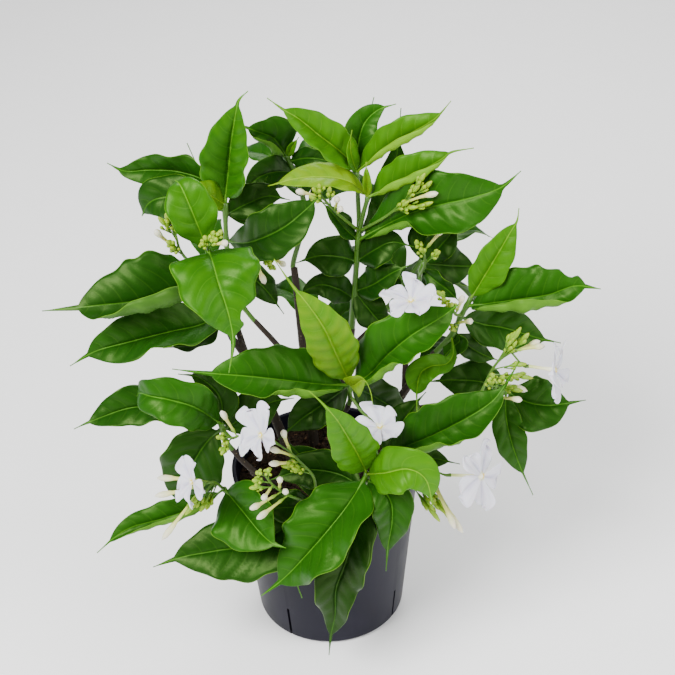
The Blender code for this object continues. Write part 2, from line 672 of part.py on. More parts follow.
# Open flowers, each on the flower cluster named first.
BLOOMS = {
    "bloom_upper_right": ("spray_upper_right", Bloom(
        (411, 301, -50), (410, 303, -26), (-0.15, -0.2, 0.95), 21, 64, 22,
    )),
    "bloom_front_left": ("spray_front_left", Bloom(
        (261, 435, -98), (274, 442, -90), (-0.77, -0.43, 0.47), 24, 110, 20,
    )),
    "bloom_centre": ("spray_top_front", Bloom(
        (380, 427, -60), (382, 424, -50), (-0.2, -0.2, 0.95), 23, 90, 20,
    )),
    "bloom_lower_left": ("spray_lower_left", Bloom(
        (192, 482, -112), (202, 483, -103), (-0.85, -0.41, 0.28), 22, 100, 18,
    )),
    "bloom_front_right": ("spray_front_right", Bloom(
        (482, 476, -78), (450, 475, -78), (0.75, -0.6, 0.29), 25, 55, 0,
    )),
    "bloom_far_right": ("spray_right_large", Bloom(
        (555, 370, -44), (528, 366, -40), (0.9, -0.35, 0.2), 22, 90, 16,
    )),
}


class BackShoot(NamedTuple):
    """A leafy stem of the side that the photograph doesn't show, with leaves in crossed pairs."""

    top: tuple
    pairs: int
    first_turn: float
    length: float
    reach: tuple


# Places in millimetres. reach is the range of headings, in degrees, that leaves may take.
BACK_SHOOTS = {
    "leafy_stem_back_left": ("woody_stem_back", "back_left", BackShoot(
        (-88, 104, 268), 3, 100.0, 108, (70, 215),
    )),
    "leafy_stem_back_low": ("woody_stem_back", "back_low", BackShoot(
        (-2, 108, 204), 2, 40.0, 100, (0, 180),
    )),
    "leafy_stem_back_right": ("woody_stem_back", "back_right", BackShoot(
        (84, 112, 262), 3, 30.0, 108, (-30, 120),
    )),
}


def smooth_track(points):
    """A smooth line through the points, with evenly spaced samples."""
    if len(points) == 2:
        return [points[0].lerp(points[1], i / PATH_SAMPLES) for i in range(PATH_SAMPLES + 1)]
    ends = [2 * points[0] - points[1], *points, 2 * points[-1] - points[-2]]
    dense = []
    for a, b, c, d in zip(ends, ends[1:], ends[2:], ends[3:]):
        for i in range(PATH_SAMPLES):
            t = i / PATH_SAMPLES
            dense.append(0.5 * (2 * b + (c - a) * t + (2 * a - 5 * b + 4 * c - d) * t ** 2
                                + (3 * b - a - 3 * c + d) * t ** 3))
    dense.append(points[-1].copy())
    lengths = [0.0]
    for a, b in zip(dense, dense[1:]):
        lengths.append(lengths[-1] + (b - a).length)
    even = []
    at = 0
    for i in range(PATH_SAMPLES + 1):
        want = lengths[-1] * i / PATH_SAMPLES
        while at < len(dense) - 2 and lengths[at + 1] < want:
            at += 1
        share = (want - lengths[at]) / max(lengths[at + 1] - lengths[at], 1e-9)
        even.append(dense[at].lerp(dense[at + 1], min(max(share, 0.0), 1.0)))
    return even


def track_length(track):
    return sum((b - a).length for a, b in zip(track, track[1:]))


def on_track(track, share):
    """The place and the direction at a share of the track."""
    place = share * (len(track) - 1)
    i = min(int(place), len(track) - 2)
    before = track[max(i - 1, 0)]
    after = track[min(i + 2, len(track) - 1)]
    return track[i].lerp(track[i + 1], place - i), (after - before).normalized()


def square_to(vector, direction):
    return (vector - direction * vector.dot(direction)).normalized()


def carried_normals(tangents, start, start_normal):
    """Normals that turn no more than the track does, from the station named start."""
    normals = [None] * len(tangents)
    normals[start] = square_to(start_normal, tangents[start])
    for i in range(start + 1, len(tangents)):
        normals[i] = square_to(normals[i - 1], tangents[i])
    for i in range(start - 1, -1, -1):
        normals[i] = square_to(normals[i + 1], tangents[i])
    return normals


def between(values, share):
    """The value at a share of the way through values that are evenly spaced."""
    place = share * (len(values) - 1)
    i = min(int(place), len(values) - 2)
    return values[i] + (values[i + 1] - values[i]) * (place - i)


def leaf_outline(leaf, share):
    """Half width of a leaf, as a share of its widest, and how much of it is open blade."""
    body_end = 1.0 - leaf.drip
    inside = min(max((share - PETIOLE_SHARE) / (body_end - PETIOLE_SHARE), 0.0), 1.0)
    body = math.sin(math.pi * inside ** (math.log(0.5) / math.log(leaf.belly))) ** 0.8
    if share > body_end:
        neck = PETIOLE_HALF_WIDTH * (1.0 - share) / leaf.drip
    else:
        neck = PETIOLE_HALF_WIDTH
    return max(body, 0.0) * (1.0 - PETIOLE_HALF_WIDTH) + neck, max(body, 0.0)


def leaf_shares(leaf, segments):
    """Stations along a leaf: its base, its blade and its drip tip."""
    body_end = 1.0 - leaf.drip
    blade_steps = segments - 1
    body = [PETIOLE_SHARE + (body_end - PETIOLE_SHARE) * i / blade_steps for i in range(1, blade_steps + 1)]
    return [0.0, *body, 1.0]


def leaf_surface(leaf, axis):
    """Rows of left edge, midrib and right edge points of a leaf that grows from an axis."""
    points = [Vector(p) if leaf.world else seen(*p) for p in leaf.path]
    points[0] = nearest_step(axis, points[0])[0]
    track = smooth_track(points)
    length = track_length(track)
    segments = next(count for least, count in LEAF_SEGMENTS if length > least)
    shares = leaf_shares(leaf, segments)
    stations = [on_track(track, share) for share in shares]
    tangents = [direction for _, direction in stations]
    start = len(shares) // 3
    outward = Vector((0, 0, 1)) if leaf.world else CAMERA_PLACE - stations[start][0]
    normals = carried_normals(tangents, start, outward)
    rows = []
    for share, (middle, tangent), normal in zip(shares, stations, normals):
        width, body = leaf_outline(leaf, share)
        half = max(leaf.half * width, TIP_HALF_WIDTH)
        roll = math.radians(between(leaf.roll, share))
        fold = math.radians(between(leaf.fold, share)) * math.sqrt(body)
        left = normal.cross(tangent)
        row = [middle]
        for side, tilt in ((left, fold + roll), (-left, fold - roll)):
            out = side * math.cos(tilt) + normal * math.sin(tilt)
            face = normal * math.cos(tilt) - side * math.sin(tilt)
            turn = leaf.phase + (0.0 if side is left else 1.9)
            ripple = leaf.wave * body * math.sin(2 * math.pi * leaf.waves * share + turn)
            row.append(middle + out * half + face * ripple)
        rows.append((row[1], row[0], row[2]))
    return rows


def new_object(name, mesh):
    item = bpy.data.objects.new(name, mesh)
    bpy.context.scene.collection.objects.link(item)
    return item


def evaluated_mesh(item):
    """The mesh of an object with its modifiers applied."""
    depsgraph = bpy.context.evaluated_depsgraph_get()
    return bpy.data.meshes.new_from_object(item.evaluated_get(depsgraph), depsgraph=depsgraph)


def drop(item):
    data = item.data
    bpy.data.objects.remove(item)
    if isinstance(data, bpy.types.Mesh):
        bpy.data.meshes.remove(data)
    else:
        bpy.data.curves.remove(data)


def sheet(name, rows, thickness=BLADE_THICKNESS):
    """A closed blade from rows of points: an open surface of triangles with Solidify."""
    grid = bmesh.new()
    lines = [[grid.verts.new(point * MM) for point in row] for row in rows]
    for near, far in zip(lines, lines[1:]):
        for column in range(len(near) - 1):
            corners = (near[column], near[column + 1], far[column + 1], far[column])
            if column % 2 == 0:
                grid.faces.new((corners[0], corners[1], corners[2]))
                grid.faces.new((corners[0], corners[2], corners[3]))
            else:
                grid.faces.new((corners[0], corners[1], corners[3]))
                grid.faces.new((corners[1], corners[2], corners[3]))
    mesh = bpy.data.meshes.new(name)
    grid.to_mesh(mesh)
    grid.free()
    item = new_object(name, mesh)
    solid = item.modifiers.new("thickness", "SOLIDIFY")
    solid.thickness = thickness * MM
    solid.offset = 0.0
    return settled(item)


def settled(item):
    """Replaces an object by a mesh object with its modifiers or its curve applied."""
    mesh = evaluated_mesh(item)
    name = item.name
    drop(item)
    edit = bmesh.new()
    edit.from_mesh(mesh)
    bmesh.ops.remove_doubles(edit, verts=edit.verts, dist=1e-6)
    bmesh.ops.recalc_face_normals(edit, faces=edit.faces)
    edit.to_mesh(mesh)
    edit.free()
    return new_object(name, mesh)


def tube(name, points, radii, sides=2):
    """A round or tapered stem: a curve with bevel_depth and filled caps, made a mesh."""
    curve = bpy.data.curves.new(name, "CURVE")
    curve.dimensions = "3D"
    curve.bevel_depth = MM
    curve.bevel_resolution = sides
    curve.use_fill_caps = True
    spline = curve.splines.new("POLY")
    spline.points.add(len(points) - 1)
    for control, point, radius in zip(spline.points, points, radii):
        control.co = (*(point * MM), 1.0)
        control.radius = radius
    item = bpy.data.objects.new(name, curve)
    bpy.context.scene.collection.objects.link(item)
    return settled(item)


def stem_stations(points, start_radius, end_radius, straight_start=False):
    """Places and radii along a stem, whose first stretch may stay a straight one of its own."""
    head = [points[0]] if straight_start else []
    track = smooth_track(points[1:] if straight_start else points)
    steps = max(round(track_length(track) / STEM_STEP), 2)
    samples = head + [on_track(track, i / steps)[0] for i in range(steps + 1)]
    last = len(samples) - 1
    radii = [start_radius + (end_radius - start_radius) * i / last for i in range(last + 1)]
    return samples, radii


def stem_axis(samples, radii):
    """Close steps along a stem's own stretches: place, direction and radius."""
    axis = []
    for near, far, near_radius, far_radius in zip(samples, samples[1:], radii, radii[1:]):
        heading = (far - near).normalized()
        for i in range(AXIS_STEPS + 1):
            share = i / AXIS_STEPS
            axis.append((near.lerp(far, share), heading, near_radius + (far_radius - near_radius) * share))
    return axis


def nearest_step(axis, place):
    """The step of an axis that is nearest to a place."""
    return min(axis, key=lambda step: (step[0] - place).length)


def fuse(name, pieces):
    """One Boolean union of the pieces, applied, with the pieces then removed."""
    base, *others = pieces
    if others:
        group = bpy.data.collections.new(name + "_pieces")
        bpy.context.scene.collection.children.link(group)
        for piece in others:
            bpy.context.scene.collection.objects.unlink(piece)
            group.objects.link(piece)
        union = base.modifiers.new("union", "BOOLEAN")
        union.operation = "UNION"
        union.operand_type = "COLLECTION"
        union.collection = group
        union.solver = UNION_SOLVER
    mesh = evaluated_mesh(base)
    for piece in pieces:
        drop(piece)
    if others:
        bpy.data.collections.remove(group)
    return new_object(name, mesh)


def vectors(path):
    return [Vector(p) for p in path]


def places(path):
    return [seen(*p) for p in path]


def branch_end(stem_name, branch_name):
    """Where a woody branch ends and the way its last stretch points."""
    branch = WOODY_STEMS[stem_name][branch_name]
    samples, _ = stem_stations(vectors(branch.path), branch.start_radius, branch.end_radius)
    return samples[-1], (samples[-1] - samples[-2]).normalized()


def spray_start(shoot_name, spray):
    """Where a flower cluster's stalk begins beside its leafy stem, and the way it goes."""
    place = places(spray.stalk)
    axis = shoot_axis(shoot_name)
    root, stem_heading, stem_radius = nearest_step(axis, place[0])
    heading = (place[1] - root).normalized()
    level = heading.dot(stem_heading)
    across = max(math.sqrt(1.0 - level ** 2), LEAST_ACROSS)
    reach = (stem_radius + GAP + STALK_RADIUS * abs(level)) / across
    tips = [samples[-1] for samples, _ in shoot_stations(shoot_name)]
    if level > ALONG_STEM and min((tip - root).length for tip in tips) < GAP:
        reach = (GAP + STALK_RADIUS * across) / level
    return root + heading * reach, heading


def shoot_stations(name):
    """Places and radii of the stems of a leafy stem: the first grows on from its woody branch."""
    if name in SHOOTS:
        stem_name, branch_name, shoot = SHOOTS[name]
        stems = [(places(stem.path), stem.start_radius, stem.end_radius) for stem in shoot.stems]
    else:
        stem_name, branch_name, back = BACK_SHOOTS[name]
        stems = [([Vector(back.top)], BACK_STEM_RADIUS, BACK_STEM_TIP)]
    end, heading = branch_end(stem_name, branch_name)
    first, start_radius, end_radius = stems[0]
    joined = [end + heading * GAP, end + heading * (GAP + STRAIGHT_START), *first]
    main_stem = stem_stations(joined, start_radius, end_radius, True)
    return [main_stem] + [stem_stations(*stem) for stem in stems[1:]]


def shoot_axis(name):
    return [step for samples, radii in shoot_stations(name) for step in stem_axis(samples, radii)]


def back_leaves(name):
    """Leaves of a back stem: crossed pairs, the lower ones longer and hanging more."""
    up = Vector((0.0, 0.0, 1.0))
    _, _, back = BACK_SHOOTS[name]
    axis = shoot_axis(name)
    leaves = []
    for pair in range(back.pairs):
        below_top = back.pairs - 1 - pair
        base = axis[round((1.0 - PAIR_STEP * below_top) * (len(axis) - 1))][0]
        hang = TOP_HANG + HANG_STEP * below_top
        length = back.length * (1.0 - PAIR_SHRINK * pair)
        for side in (0.0, 180.0):
            turn = back.first_turn + 90.0 * pair + side
            middle = (back.reach[0] + back.reach[1]) / 2
            off = (turn - middle + 180.0) % 360.0 - 180.0
            if abs(off) > (back.reach[1] - back.reach[0]) / 2:
                continue
            heading = Vector((math.cos(math.radians(turn)), math.sin(math.radians(turn)), 0.0))
            arch = [heading * out + up * (rise - hang * droop) for out, rise, droop in BACK_LEAF_ARCH]
            path = [base + step * length for step in arch]
            phase = turn / BACK_LEAF_PHASE
            leaves.append(Leaf(path, length * BACK_LEAF_HALF, fold=(18, 14), phase=phase, world=True))
    return leaves


def make_shoot(name):
    """A leafy stem: its stems and its leaves."""
    pieces = []
    for samples, radii in shoot_stations(name):
        pieces.append(tube(name, samples, radii, 0))
    axis = shoot_axis(name)
    leaves = SHOOTS[name][2].leaves if name in SHOOTS else back_leaves(name)
    for leaf in leaves:
        pieces.append(sheet(name, leaf_surface(leaf, axis)))
    return fuse(name, pieces)


def bud(name, hub, tip, shape):
    """A bud on its stalk, as one tapered tube from the cluster's stalk to the bud's tip."""
    return tube(name, [hub.lerp(tip, share) for share, _ in shape], [radius for _, radius in shape], 0)


def make_spray(name):
    parent, spray = SPRAYS[name]
    start, heading = spray_start(parent, spray)
    stalk = places(spray.stalk)
    points = [start, start + heading * STALK_STRAIGHT, *stalk[1:]]
    samples, radii = stem_stations(points, STALK_RADIUS, STALK_RADIUS * STALK_TIP, True)
    axis = stem_axis(samples, radii)
    pieces = [tube(name, samples, radii, 0)]
    buds = [(tip, SMALL_BUD) for tip in places(spray.small)] + [(tip, LONG_BUD) for tip in places(spray.long)]
    heading = axis[-1][1]
    buds.sort(key=lambda entry: entry[0].dot(heading))
    for i, (tip, shape) in enumerate(buds):
        share = BUDS_FROM + (BUDS_TO - BUDS_FROM) * (i + 1) / len(buds)
        start = axis[round(share * (len(axis) - 1))][0]
        pieces.append(bud(name, start, tip, shape))
    for bloom_parent, bloom in BLOOMS.values():
        if bloom_parent == name:
            pieces.append(bloom_stalk(name, axis, bloom))
    return fuse(name, pieces)


def bloom_stalk(name, axis, bloom):
    """The green stalk and calyx that carry an open flower."""
    tube_end = seen(*bloom.tube_end)
    heading = (seen(*bloom.eye) - tube_end).normalized()
    hub = nearest_step(axis, tube_end - heading * BLOOM_STALK_BACK)[0]
    end = tube_end - heading * GAP
    points = [hub, end - heading * CALYX_LENGTH, end]
    return tube(name, points, BLOOM_STALK_RADII, 1)


def make_bloom(name):
    """An open flower: a slim tube and five skewed petals round its eye, in one body."""
    _, bloom = BLOOMS[name]
    eye = seen(*bloom.eye)
    tube_end = seen(*bloom.tube_end)
    facing = Vector(bloom.facing).normalized()
    points = [tube_end, tube_end.lerp(eye, 0.5), eye]
    pieces = [tube(name, points, [TUBE_RADIUS, TUBE_RADIUS, THROAT_RADIUS], 1)]
    across = square_to(CAMERA_RIGHT if abs(facing.dot(CAMERA_RIGHT)) < SIDEWAYS else CAMERA_UP, facing)
    upward = facing.cross(across)
    for petal in range(PETALS):
        turn = math.radians(bloom.spin + 360.0 * petal / PETALS)
        out = across * math.cos(turn) + upward * math.sin(turn)
        pieces.append(sheet(name, petal_rows(bloom, eye - facing * PETAL_SINK, facing, out)))
    return fuse(name, pieces)


def petal_rows(bloom, root, facing, out):
    """Rows of left edge, middle and right edge points of a petal that grows out from a root."""
    aside = facing.cross(out)
    cup = math.radians(bloom.cup)
    rows = []
    for share, width in PETAL_OUTLINE:
        reach = bloom.radius * share
        rise = reach * math.sin(cup) * (1.0 - PETAL_FLATTENING * share)
        middle = root + out * (reach * math.cos(cup)) + aside * (PETAL_SKEW * reach * share) + facing * rise
        half = bloom.radius * PETAL_HALF_WIDTH * width
        lean = facing * (half * PETAL_LEAN)
        left = middle + aside * (half * PETAL_LEFT) + lean
        right = middle - aside * (half * PETAL_RIGHT) - lean
        rows.append((left, middle, right))
    return rows


def turned(name, profile, steps):
    """A turned body: its profile of (radius, height) under a Screw modifier."""
    mesh = bpy.data.meshes.new(name)
    points = [(radius * MM, 0.0, height * MM) for radius, height in profile]
    mesh.from_pydata(points, [(i, i + 1) for i in range(len(points) - 1)], [])
    item = new_object(name, mesh)
    screw = item.modifiers.new("turn", "SCREW")
    screw.axis = "Z"
    screw.steps = steps
    screw.render_steps = steps
    screw.use_merge_vertices = True
    screw.merge_threshold = 1e-6
    return settled(item)


def pot_radius(height):
    return POT_BASE_RADIUS + (POT_TOP_RADIUS - POT_BASE_RADIUS) * height / POT_HEIGHT


def cut(item, cutter):
    """Cuts one mesh from another with a Boolean, and keeps the cutter in its own collection."""
    difference = item.modifiers.new("cut", "BOOLEAN")
    difference.operation = "DIFFERENCE"
    difference.object = cutter
    difference.solver = "EXACT"


def keep_as_cutter(item):
    item.hide_render = True
    item.display_type = "WIRE"
    for owner in list(item.users_collection):
        owner.objects.unlink(item)
    bpy.data.collections[CUTTERS].objects.link(item)


def make_pot():
    """The tapered pot: one closed shell with a rim band and slits at its foot."""
    band = POT_HEIGHT - RIM_DEPTH
    inner_floor = pot_radius(POT_FLOOR) - POT_WALL
    profile = (
        (0.0, POT_FLOOR),
        (inner_floor, POT_FLOOR),
        (pot_radius(POT_HEIGHT) - POT_WALL, POT_HEIGHT),
        (pot_radius(POT_HEIGHT) + RIM_WIDTH, POT_HEIGHT),
        (pot_radius(band) + RIM_WIDTH, band),
        (pot_radius(band), band),
        (pot_radius(POT_FOOT_BEVEL), POT_FOOT_BEVEL),
        (POT_BASE_RADIUS - POT_FOOT_BEVEL, 0.0),
        (0.0, 0.0),
    )
    pot = turned("pot", profile, ROUND_STEPS)
    for i in range(SLIT_COUNT):
        turn = math.radians(FIRST_SLIT_ANGLE + 360.0 * i / SLIT_COUNT)
        bpy.ops.mesh.primitive_cube_add(size=1.0)
        slit = bpy.context.object
        slit.name = "slit_cutter_%d" % (i + 1)
        slit.scale = (SLIT_DEPTH * MM, SLIT_WIDTH * MM, 2 * SLIT_HEIGHT * MM)
        slit.location = (math.cos(turn) * SLIT_CENTRE * MM, math.sin(turn) * SLIT_CENTRE * MM, 0.0)
        slit.rotation_euler = (0.0, 0.0, turn)
        keep_as_cutter(slit)
        cut(pot, slit)
    return pot


def make_soil():
    """The filled soil: a turned body with a low crown and a plain hole for each woody stem."""
    floor = POT_FLOOR + GAP
    wall = POT_WALL + GAP
    edge = pot_radius(SOIL_TOP) - wall
    rings = 2
    profile = [(edge * i / rings, SOIL_TOP + SOIL_CROWN * (1.0 - (i / rings) ** 2)) for i in range(rings + 1)]
    profile.append((pot_radius(floor) - wall, floor))
    profile.append((0.0, floor))
    soil = turned("soil", profile, ROUND_STEPS)
    for name, branches in WOODY_STEMS.items():
        samples, radii = stem_stations(vectors(branches["trunk"].path), *branches["trunk"][1:])
        samples[0] = samples[0] - (samples[1] - samples[0]).normalized() * GAP
        inside = [i for i, place in enumerate(samples) if place.z < SOIL_TOP + STEM_STEP * 1.5]
        hole = tube(name + "_hole_cutter", [samples[i] for i in inside],
                    [radii[i] + HOLE_GAP for i in inside], 1)
        keep_as_cutter(hole)
        cut(soil, hole)
    return soil


def make_woody_stem(name):
    """A trunk and its branches, in one body."""
    pieces = []
    for stem in WOODY_STEMS[name].values():
        points = vectors(stem.path)
        samples, radii = stem_stations(points, stem.start_radius, stem.end_radius)
        pieces.append(tube(name, samples, radii, 1))
    return fuse(name, pieces)


def painted(item, slot):
    """Gives an object its own Principled material."""
    colour, roughness = COLOURS[slot]
    material = bpy.data.materials.new(item.name)
    material.use_nodes = True
    shader = material.node_tree.nodes["Principled BSDF"]
    shader.inputs["Base Color"].default_value = (*colour, 1.0)
    shader.inputs["Roughness"].default_value = roughness
    shader.inputs["Metallic"].default_value = 0.0
    item.data.materials.clear()
    item.data.materials.append(material)
    return item


def clear_scene():
    for item in list(bpy.data.objects):
        bpy.data.objects.remove(item)


def main():
    clear_scene()
    parts = bpy.data.collections.new(COLLECTION)
    cutters = bpy.data.collections.new(CUTTERS)
    bpy.context.scene.collection.children.link(parts)
    bpy.context.scene.collection.children.link(cutters)
    made = [painted(make_pot(), "pot"), painted(make_soil(), "soil")]
    made += [painted(make_woody_stem(name), "woody") for name in WOODY_STEMS]
    made += [painted(make_shoot(name), "leaf") for name in (*SHOOTS, *BACK_SHOOTS)]
    made += [painted(make_spray(name), "bud") for name in SPRAYS]
    made += [painted(make_bloom(name), "bloom") for name in BLOOMS]
    for item in made:
        bpy.context.scene.collection.objects.unlink(item)
        parts.objects.link(item)


if __name__ == "__main__":
    main()
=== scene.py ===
"""Potted pinwheel jasmine: fine leaves, stems, flower clusters, blooms, soil and pot, and the studio.

The file is laid out as an add-on and run as a script. Each operator makes one kind of piece round
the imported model, in its place. Sizes are millimetres here and become metres when a mesh is made.
Places of leaves, blooms and buds are photo points: two pixels of the 675 x 675 photograph and the
Y in millimetres at which the line of sight through them stops.
"""
import json
import math
from functools import partial
from typing import NamedTuple

import bmesh
import bpy
import numpy as np
from mathutils import Matrix, Vector, noise

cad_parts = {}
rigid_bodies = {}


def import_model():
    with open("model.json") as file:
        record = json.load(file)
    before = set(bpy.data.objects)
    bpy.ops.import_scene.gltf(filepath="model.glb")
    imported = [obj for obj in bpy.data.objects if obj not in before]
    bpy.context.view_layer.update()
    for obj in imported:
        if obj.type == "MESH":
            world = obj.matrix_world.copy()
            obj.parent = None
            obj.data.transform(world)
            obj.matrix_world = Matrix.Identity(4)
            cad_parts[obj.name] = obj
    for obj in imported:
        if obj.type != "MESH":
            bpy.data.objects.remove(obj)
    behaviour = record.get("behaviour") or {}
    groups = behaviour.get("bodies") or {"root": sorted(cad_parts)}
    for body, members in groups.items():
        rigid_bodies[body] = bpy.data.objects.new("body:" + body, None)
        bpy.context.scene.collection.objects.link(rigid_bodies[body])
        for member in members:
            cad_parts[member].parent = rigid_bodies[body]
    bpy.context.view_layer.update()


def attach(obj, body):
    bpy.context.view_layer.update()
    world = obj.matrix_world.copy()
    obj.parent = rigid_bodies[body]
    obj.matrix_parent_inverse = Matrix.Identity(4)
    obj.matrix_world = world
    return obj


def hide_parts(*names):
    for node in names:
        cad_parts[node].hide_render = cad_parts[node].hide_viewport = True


bl_info = {
    "name": "Potted pinwheel jasmine",
    "version": (1, 0, 0),
    "blender": (4, 5, 0),
    "location": "View3D > Sidebar > Jasmine",
    "description": "Makes a potted pinwheel jasmine, its finishes and a plain studio round its frame",
    "category": "Add Mesh",
}

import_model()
MM = 0.001

# Pot and soil
POT_HEIGHT = 143.0
POT_BASE_RADIUS = 60.0
POT_TOP_RADIUS = 74.5
POT_WALL = 2.4
POT_FLOOR = 3.0
POT_FOOT_BEVEL = 3.0
RIM_DEPTH = 5.0
RIM_WIDTH = 1.2
SLIT_HEIGHT = 34.0
SLIT_COUNT = 4
FIRST_SLIT_ANGLE = -124.0
SLIT_DEPTH = 12.0
SLIT_CENTRE = 60.0
SOIL_TOP = 129.0
SOIL_CROWN = 3.0
SOIL_MARGIN = 0.3
POT_ROUNDING = (2.0, 1.2, 0.9, 0.5, 0.4, 1.4, 1.4)
POT_SPOKES = 144
SHARP_EDGE = 35.0
SOIL_RINGS = 46
SOIL_SPOKES = 120
LUMP_HEIGHT = 0.9
# Lumps of the potting mix: how fine they are, and how high in millimetres
LUMPS = ((0.16, 1.6), (0.55, 0.9))
LEVEL_EDGE = 8.0
CRUMB_SEED = 7
CRUMB_KEEP_OFF = 4.0
CRUMB_LEAST = 0.8
CRUMB_SPREAD = 2.4
CRUMB_TILT = 0.9
BARK_BITS_ABOVE = 0.86
CRUMB_CORNERS = (
    (1, 0, 0), (0.5, 0.87, 0.2), (-0.5, 0.8, 0), (-1, 0, 0.2), (-0.5, -0.87, 0), (0.5, -0.8, 0.2),
    (0.1, 0, 1), (0, 0.1, -1),
)

# Camera of the photograph, which turns pixels into places
PHOTO_WIDTH = 675.0
LENS = 85.0
SENSOR = 36.0
CAMERA_PLACE = Vector((13.0, -998.0, 950.0))
CAMERA_PITCH = 34.5
CAMERA_ROLL = 2.09

# Blades: rows along and columns across each half, for leaves longer than the first number
BLADE_GRID = ((82.0, 60, 12), (55.0, 44, 10), (0.0, 28, 7))
PETIOLE_SHARE = 0.05
PETIOLE_HALF_WIDTH = 0.07
TIP_HALF_WIDTH = 0.35
PATH_SAMPLES = 120
FACING_SHARE = 0.36
TANGENT_REACH = 2
COLUMN_POWER = 1.35
BODY_POWER = 0.8
USUAL_HALF_WIDTH = 20.0
LARGEST_SIZE = 1.2
ARCH = 15.0
QUILT_HEIGHT = 1.5
QUILT_REACH = 1.04
QUILT_POWER = 0.7
PUFF_POWER = 0.8
PUFF_LEVEL = 0.6
SCALLOP = 0.05
SCALLOP_STEP = 21.0
VEIN_SLOPE = 0.3
VEIN_BEND = 0.6
VEIN_BEND_POWER = 2.2
OTHER_HALF_PHASE = 1.9
RUFFLE = 0.8
RUFFLE_STEP = 17.0
RUFFLE_SHIFT = 2.3
SLOW_RUFFLE = 0.6
SLOW_RUFFLE_PACE = 0.618
GROOVE_DEPTH = 0.8
GROOVE_WIDTH = 1.3
THICK_AT_RIB = 1.15
THINNED_AT_EDGE = 0.5
MIDRIB_SIDES = 8
MIDRIB_STEPS = 26
MIDRIB_END = 0.97
MIDRIB_RADIUS = 0.35
MIDRIB_GROWTH = 0.85
MIDRIB_TAPER = 0.8
STALK_EXTRA = 0.38
STALK_SHARE = 0.12
MIDRIB_TIP_RADIUS = 0.12
MIDRIB_SINK = 0.75

# Stems, stalks and buds
END_ROUNDING = 0.5
STEM_STEP = 4.0
STEM_SIDES = 14
WOODY_SIDES = 20
BARK_TURN = 1.4
BARK_LENGTH = 9.0
BARK_SHIFT = 3.7
BARK_BUMP = 0.07
BARK_CRACK = 0.05
BARK_CRACK_PACE = 3.1
AXIS_STEPS = 3
STRAIGHT_START = 5.0
JOIN_DEPTH = 2.5
BACK_STEM_RADIUS = 2.0
BACK_STEM_TIP = 1.5
PAIR_STEP = 0.3
PAIR_SPACING = 21.0
PAIR_SHRINK = 0.12
TOP_HANG = 0.10
HANG_STEP = 0.16
BACK_LEAF_ARCH = ((0.0, 0.0, 0.0), (0.32, 0.16, 0.0), (0.66, 0.14, 0.4), (0.96, 0.0, 1.2))
BACK_LEAF_HALF = 0.2
BACK_LEAF_FOLD = (18, 14)
BACK_LEAF_PHASE = 40.0
BACK_LEAF_TONE = 0.45
BACK_TONE_STEP = 0.12
NODE_SWELL = 0.7
NODE_REACH = 3.0
STALK_RADIUS = 1.05
STALK_SIDES = 12
STALK_FOOT = 1.25
STALK_TOP = 0.85
BLOOM_STALK = 0.7
BLOOM_STALK_STEPS = 16
BLOOM_STALK_START = 6.0
BLOOM_STALK_BEND = 4.0
BLOOM_STALK_END = 0.5
WIDEN_FROM = 0.6
WIDEN_RATE = 2.5
BUDS_FROM = 0.5
BUDS_TO = 0.97
SMALL_BUD = (
    (0.0, 0.55), (0.3, 0.5), (0.5, 0.6), (0.56, 1.05), (0.62, 1.3), (0.68, 1.2), (0.78, 1.85), (0.87, 1.8),
    (0.95, 1.15), (1.0, 0.25),
)
LONG_BUD = (
    (0.0, 0.6), (0.16, 0.55), (0.2, 1.0), (0.27, 1.35), (0.33, 1.0), (0.5, 1.1), (0.66, 1.35), (0.76, 2.1),
    (0.84, 2.4), (0.92, 2.0), (0.97, 1.3), (1.0, 0.35),
)
BUD_STEPS = 26
BUD_SIDES = 15
BUD_BEND = 0.06
BUD_FURROW = 0.08
FURROWS = 5.0
FURROWS_FROM = 0.62
FURROWS_FULL = 0.12
SIDE_BUDS = 4
SIDE_BUD_FORK = 0.35
SIDE_BUD_OFFSET = 3.0
SIDE_BUD_REACH = 0.75
SIDE_BUD_REACH_STEP = 0.1
SIDE_BUD_GIRTH = 0.85
SIDE_BUD_GIRTH_STEP = 0.08

# Blooms
TUBE_RADIUS = 1.2
THROAT_RADIUS = 2.3
CALYX_RADIUS = 1.5
PETALS = 5
PETAL_OUTLINE = ((0.0, 0.1), (0.07, 0.16), (0.25, 0.4), (0.42, 0.66), (0.6, 0.9), (0.74, 1.0))
PETAL_ROUND_FROM = 0.74
PETAL_SINK = 0.5
PETAL_HALF_WIDTH = 0.43
PETAL_LEFT = 1.1
PETAL_RIGHT = 0.9
PETAL_SKEW = 0.18
PETAL_LEAN = 0.16
PETAL_FLATTENING = 0.3
PETAL_GRID = (30, 11)
PETAL_HOLLOW = 1.7
PETAL_RUFFLE = 2.0
PETAL_CREASE = 0.9
PETAL_RECURVE = 2.0
PETAL_SLANT = 0.1
PETAL_TILT = 9.0
PETAL_TWIST = 0.12
SIDEWAYS = 0.8
PETAL_THICKNESS = 0.35
PETAL_END_POWER = 2.6
PETAL_LEAST_WIDTH = 0.03
PETAL_ROW_POWER = 1.15
PETAL_TIP_FROM = 0.6
CREASE_WIDTH = 0.14
BLOOM_TUBE_STEPS = 14
BLOOM_TUBE_SIDES = 16
EYE_RING = 24
EYE_SIDES = 8
EYE_RADIUS = 1.45
EYE_LOBE = 0.25
EYE_THICKNESS = 0.5

# Finishes and studio
LEAF_SHINE = (0.66, 1.0, 0.3, 1.0)
POT_SHINE = (0.82, 0.82, 1.0, 1.0)
# A Map Range node takes a value, the two places where its step begins and ends, and its results there
SMOOTH = {"interpolation_type": "SMOOTHSTEP"}
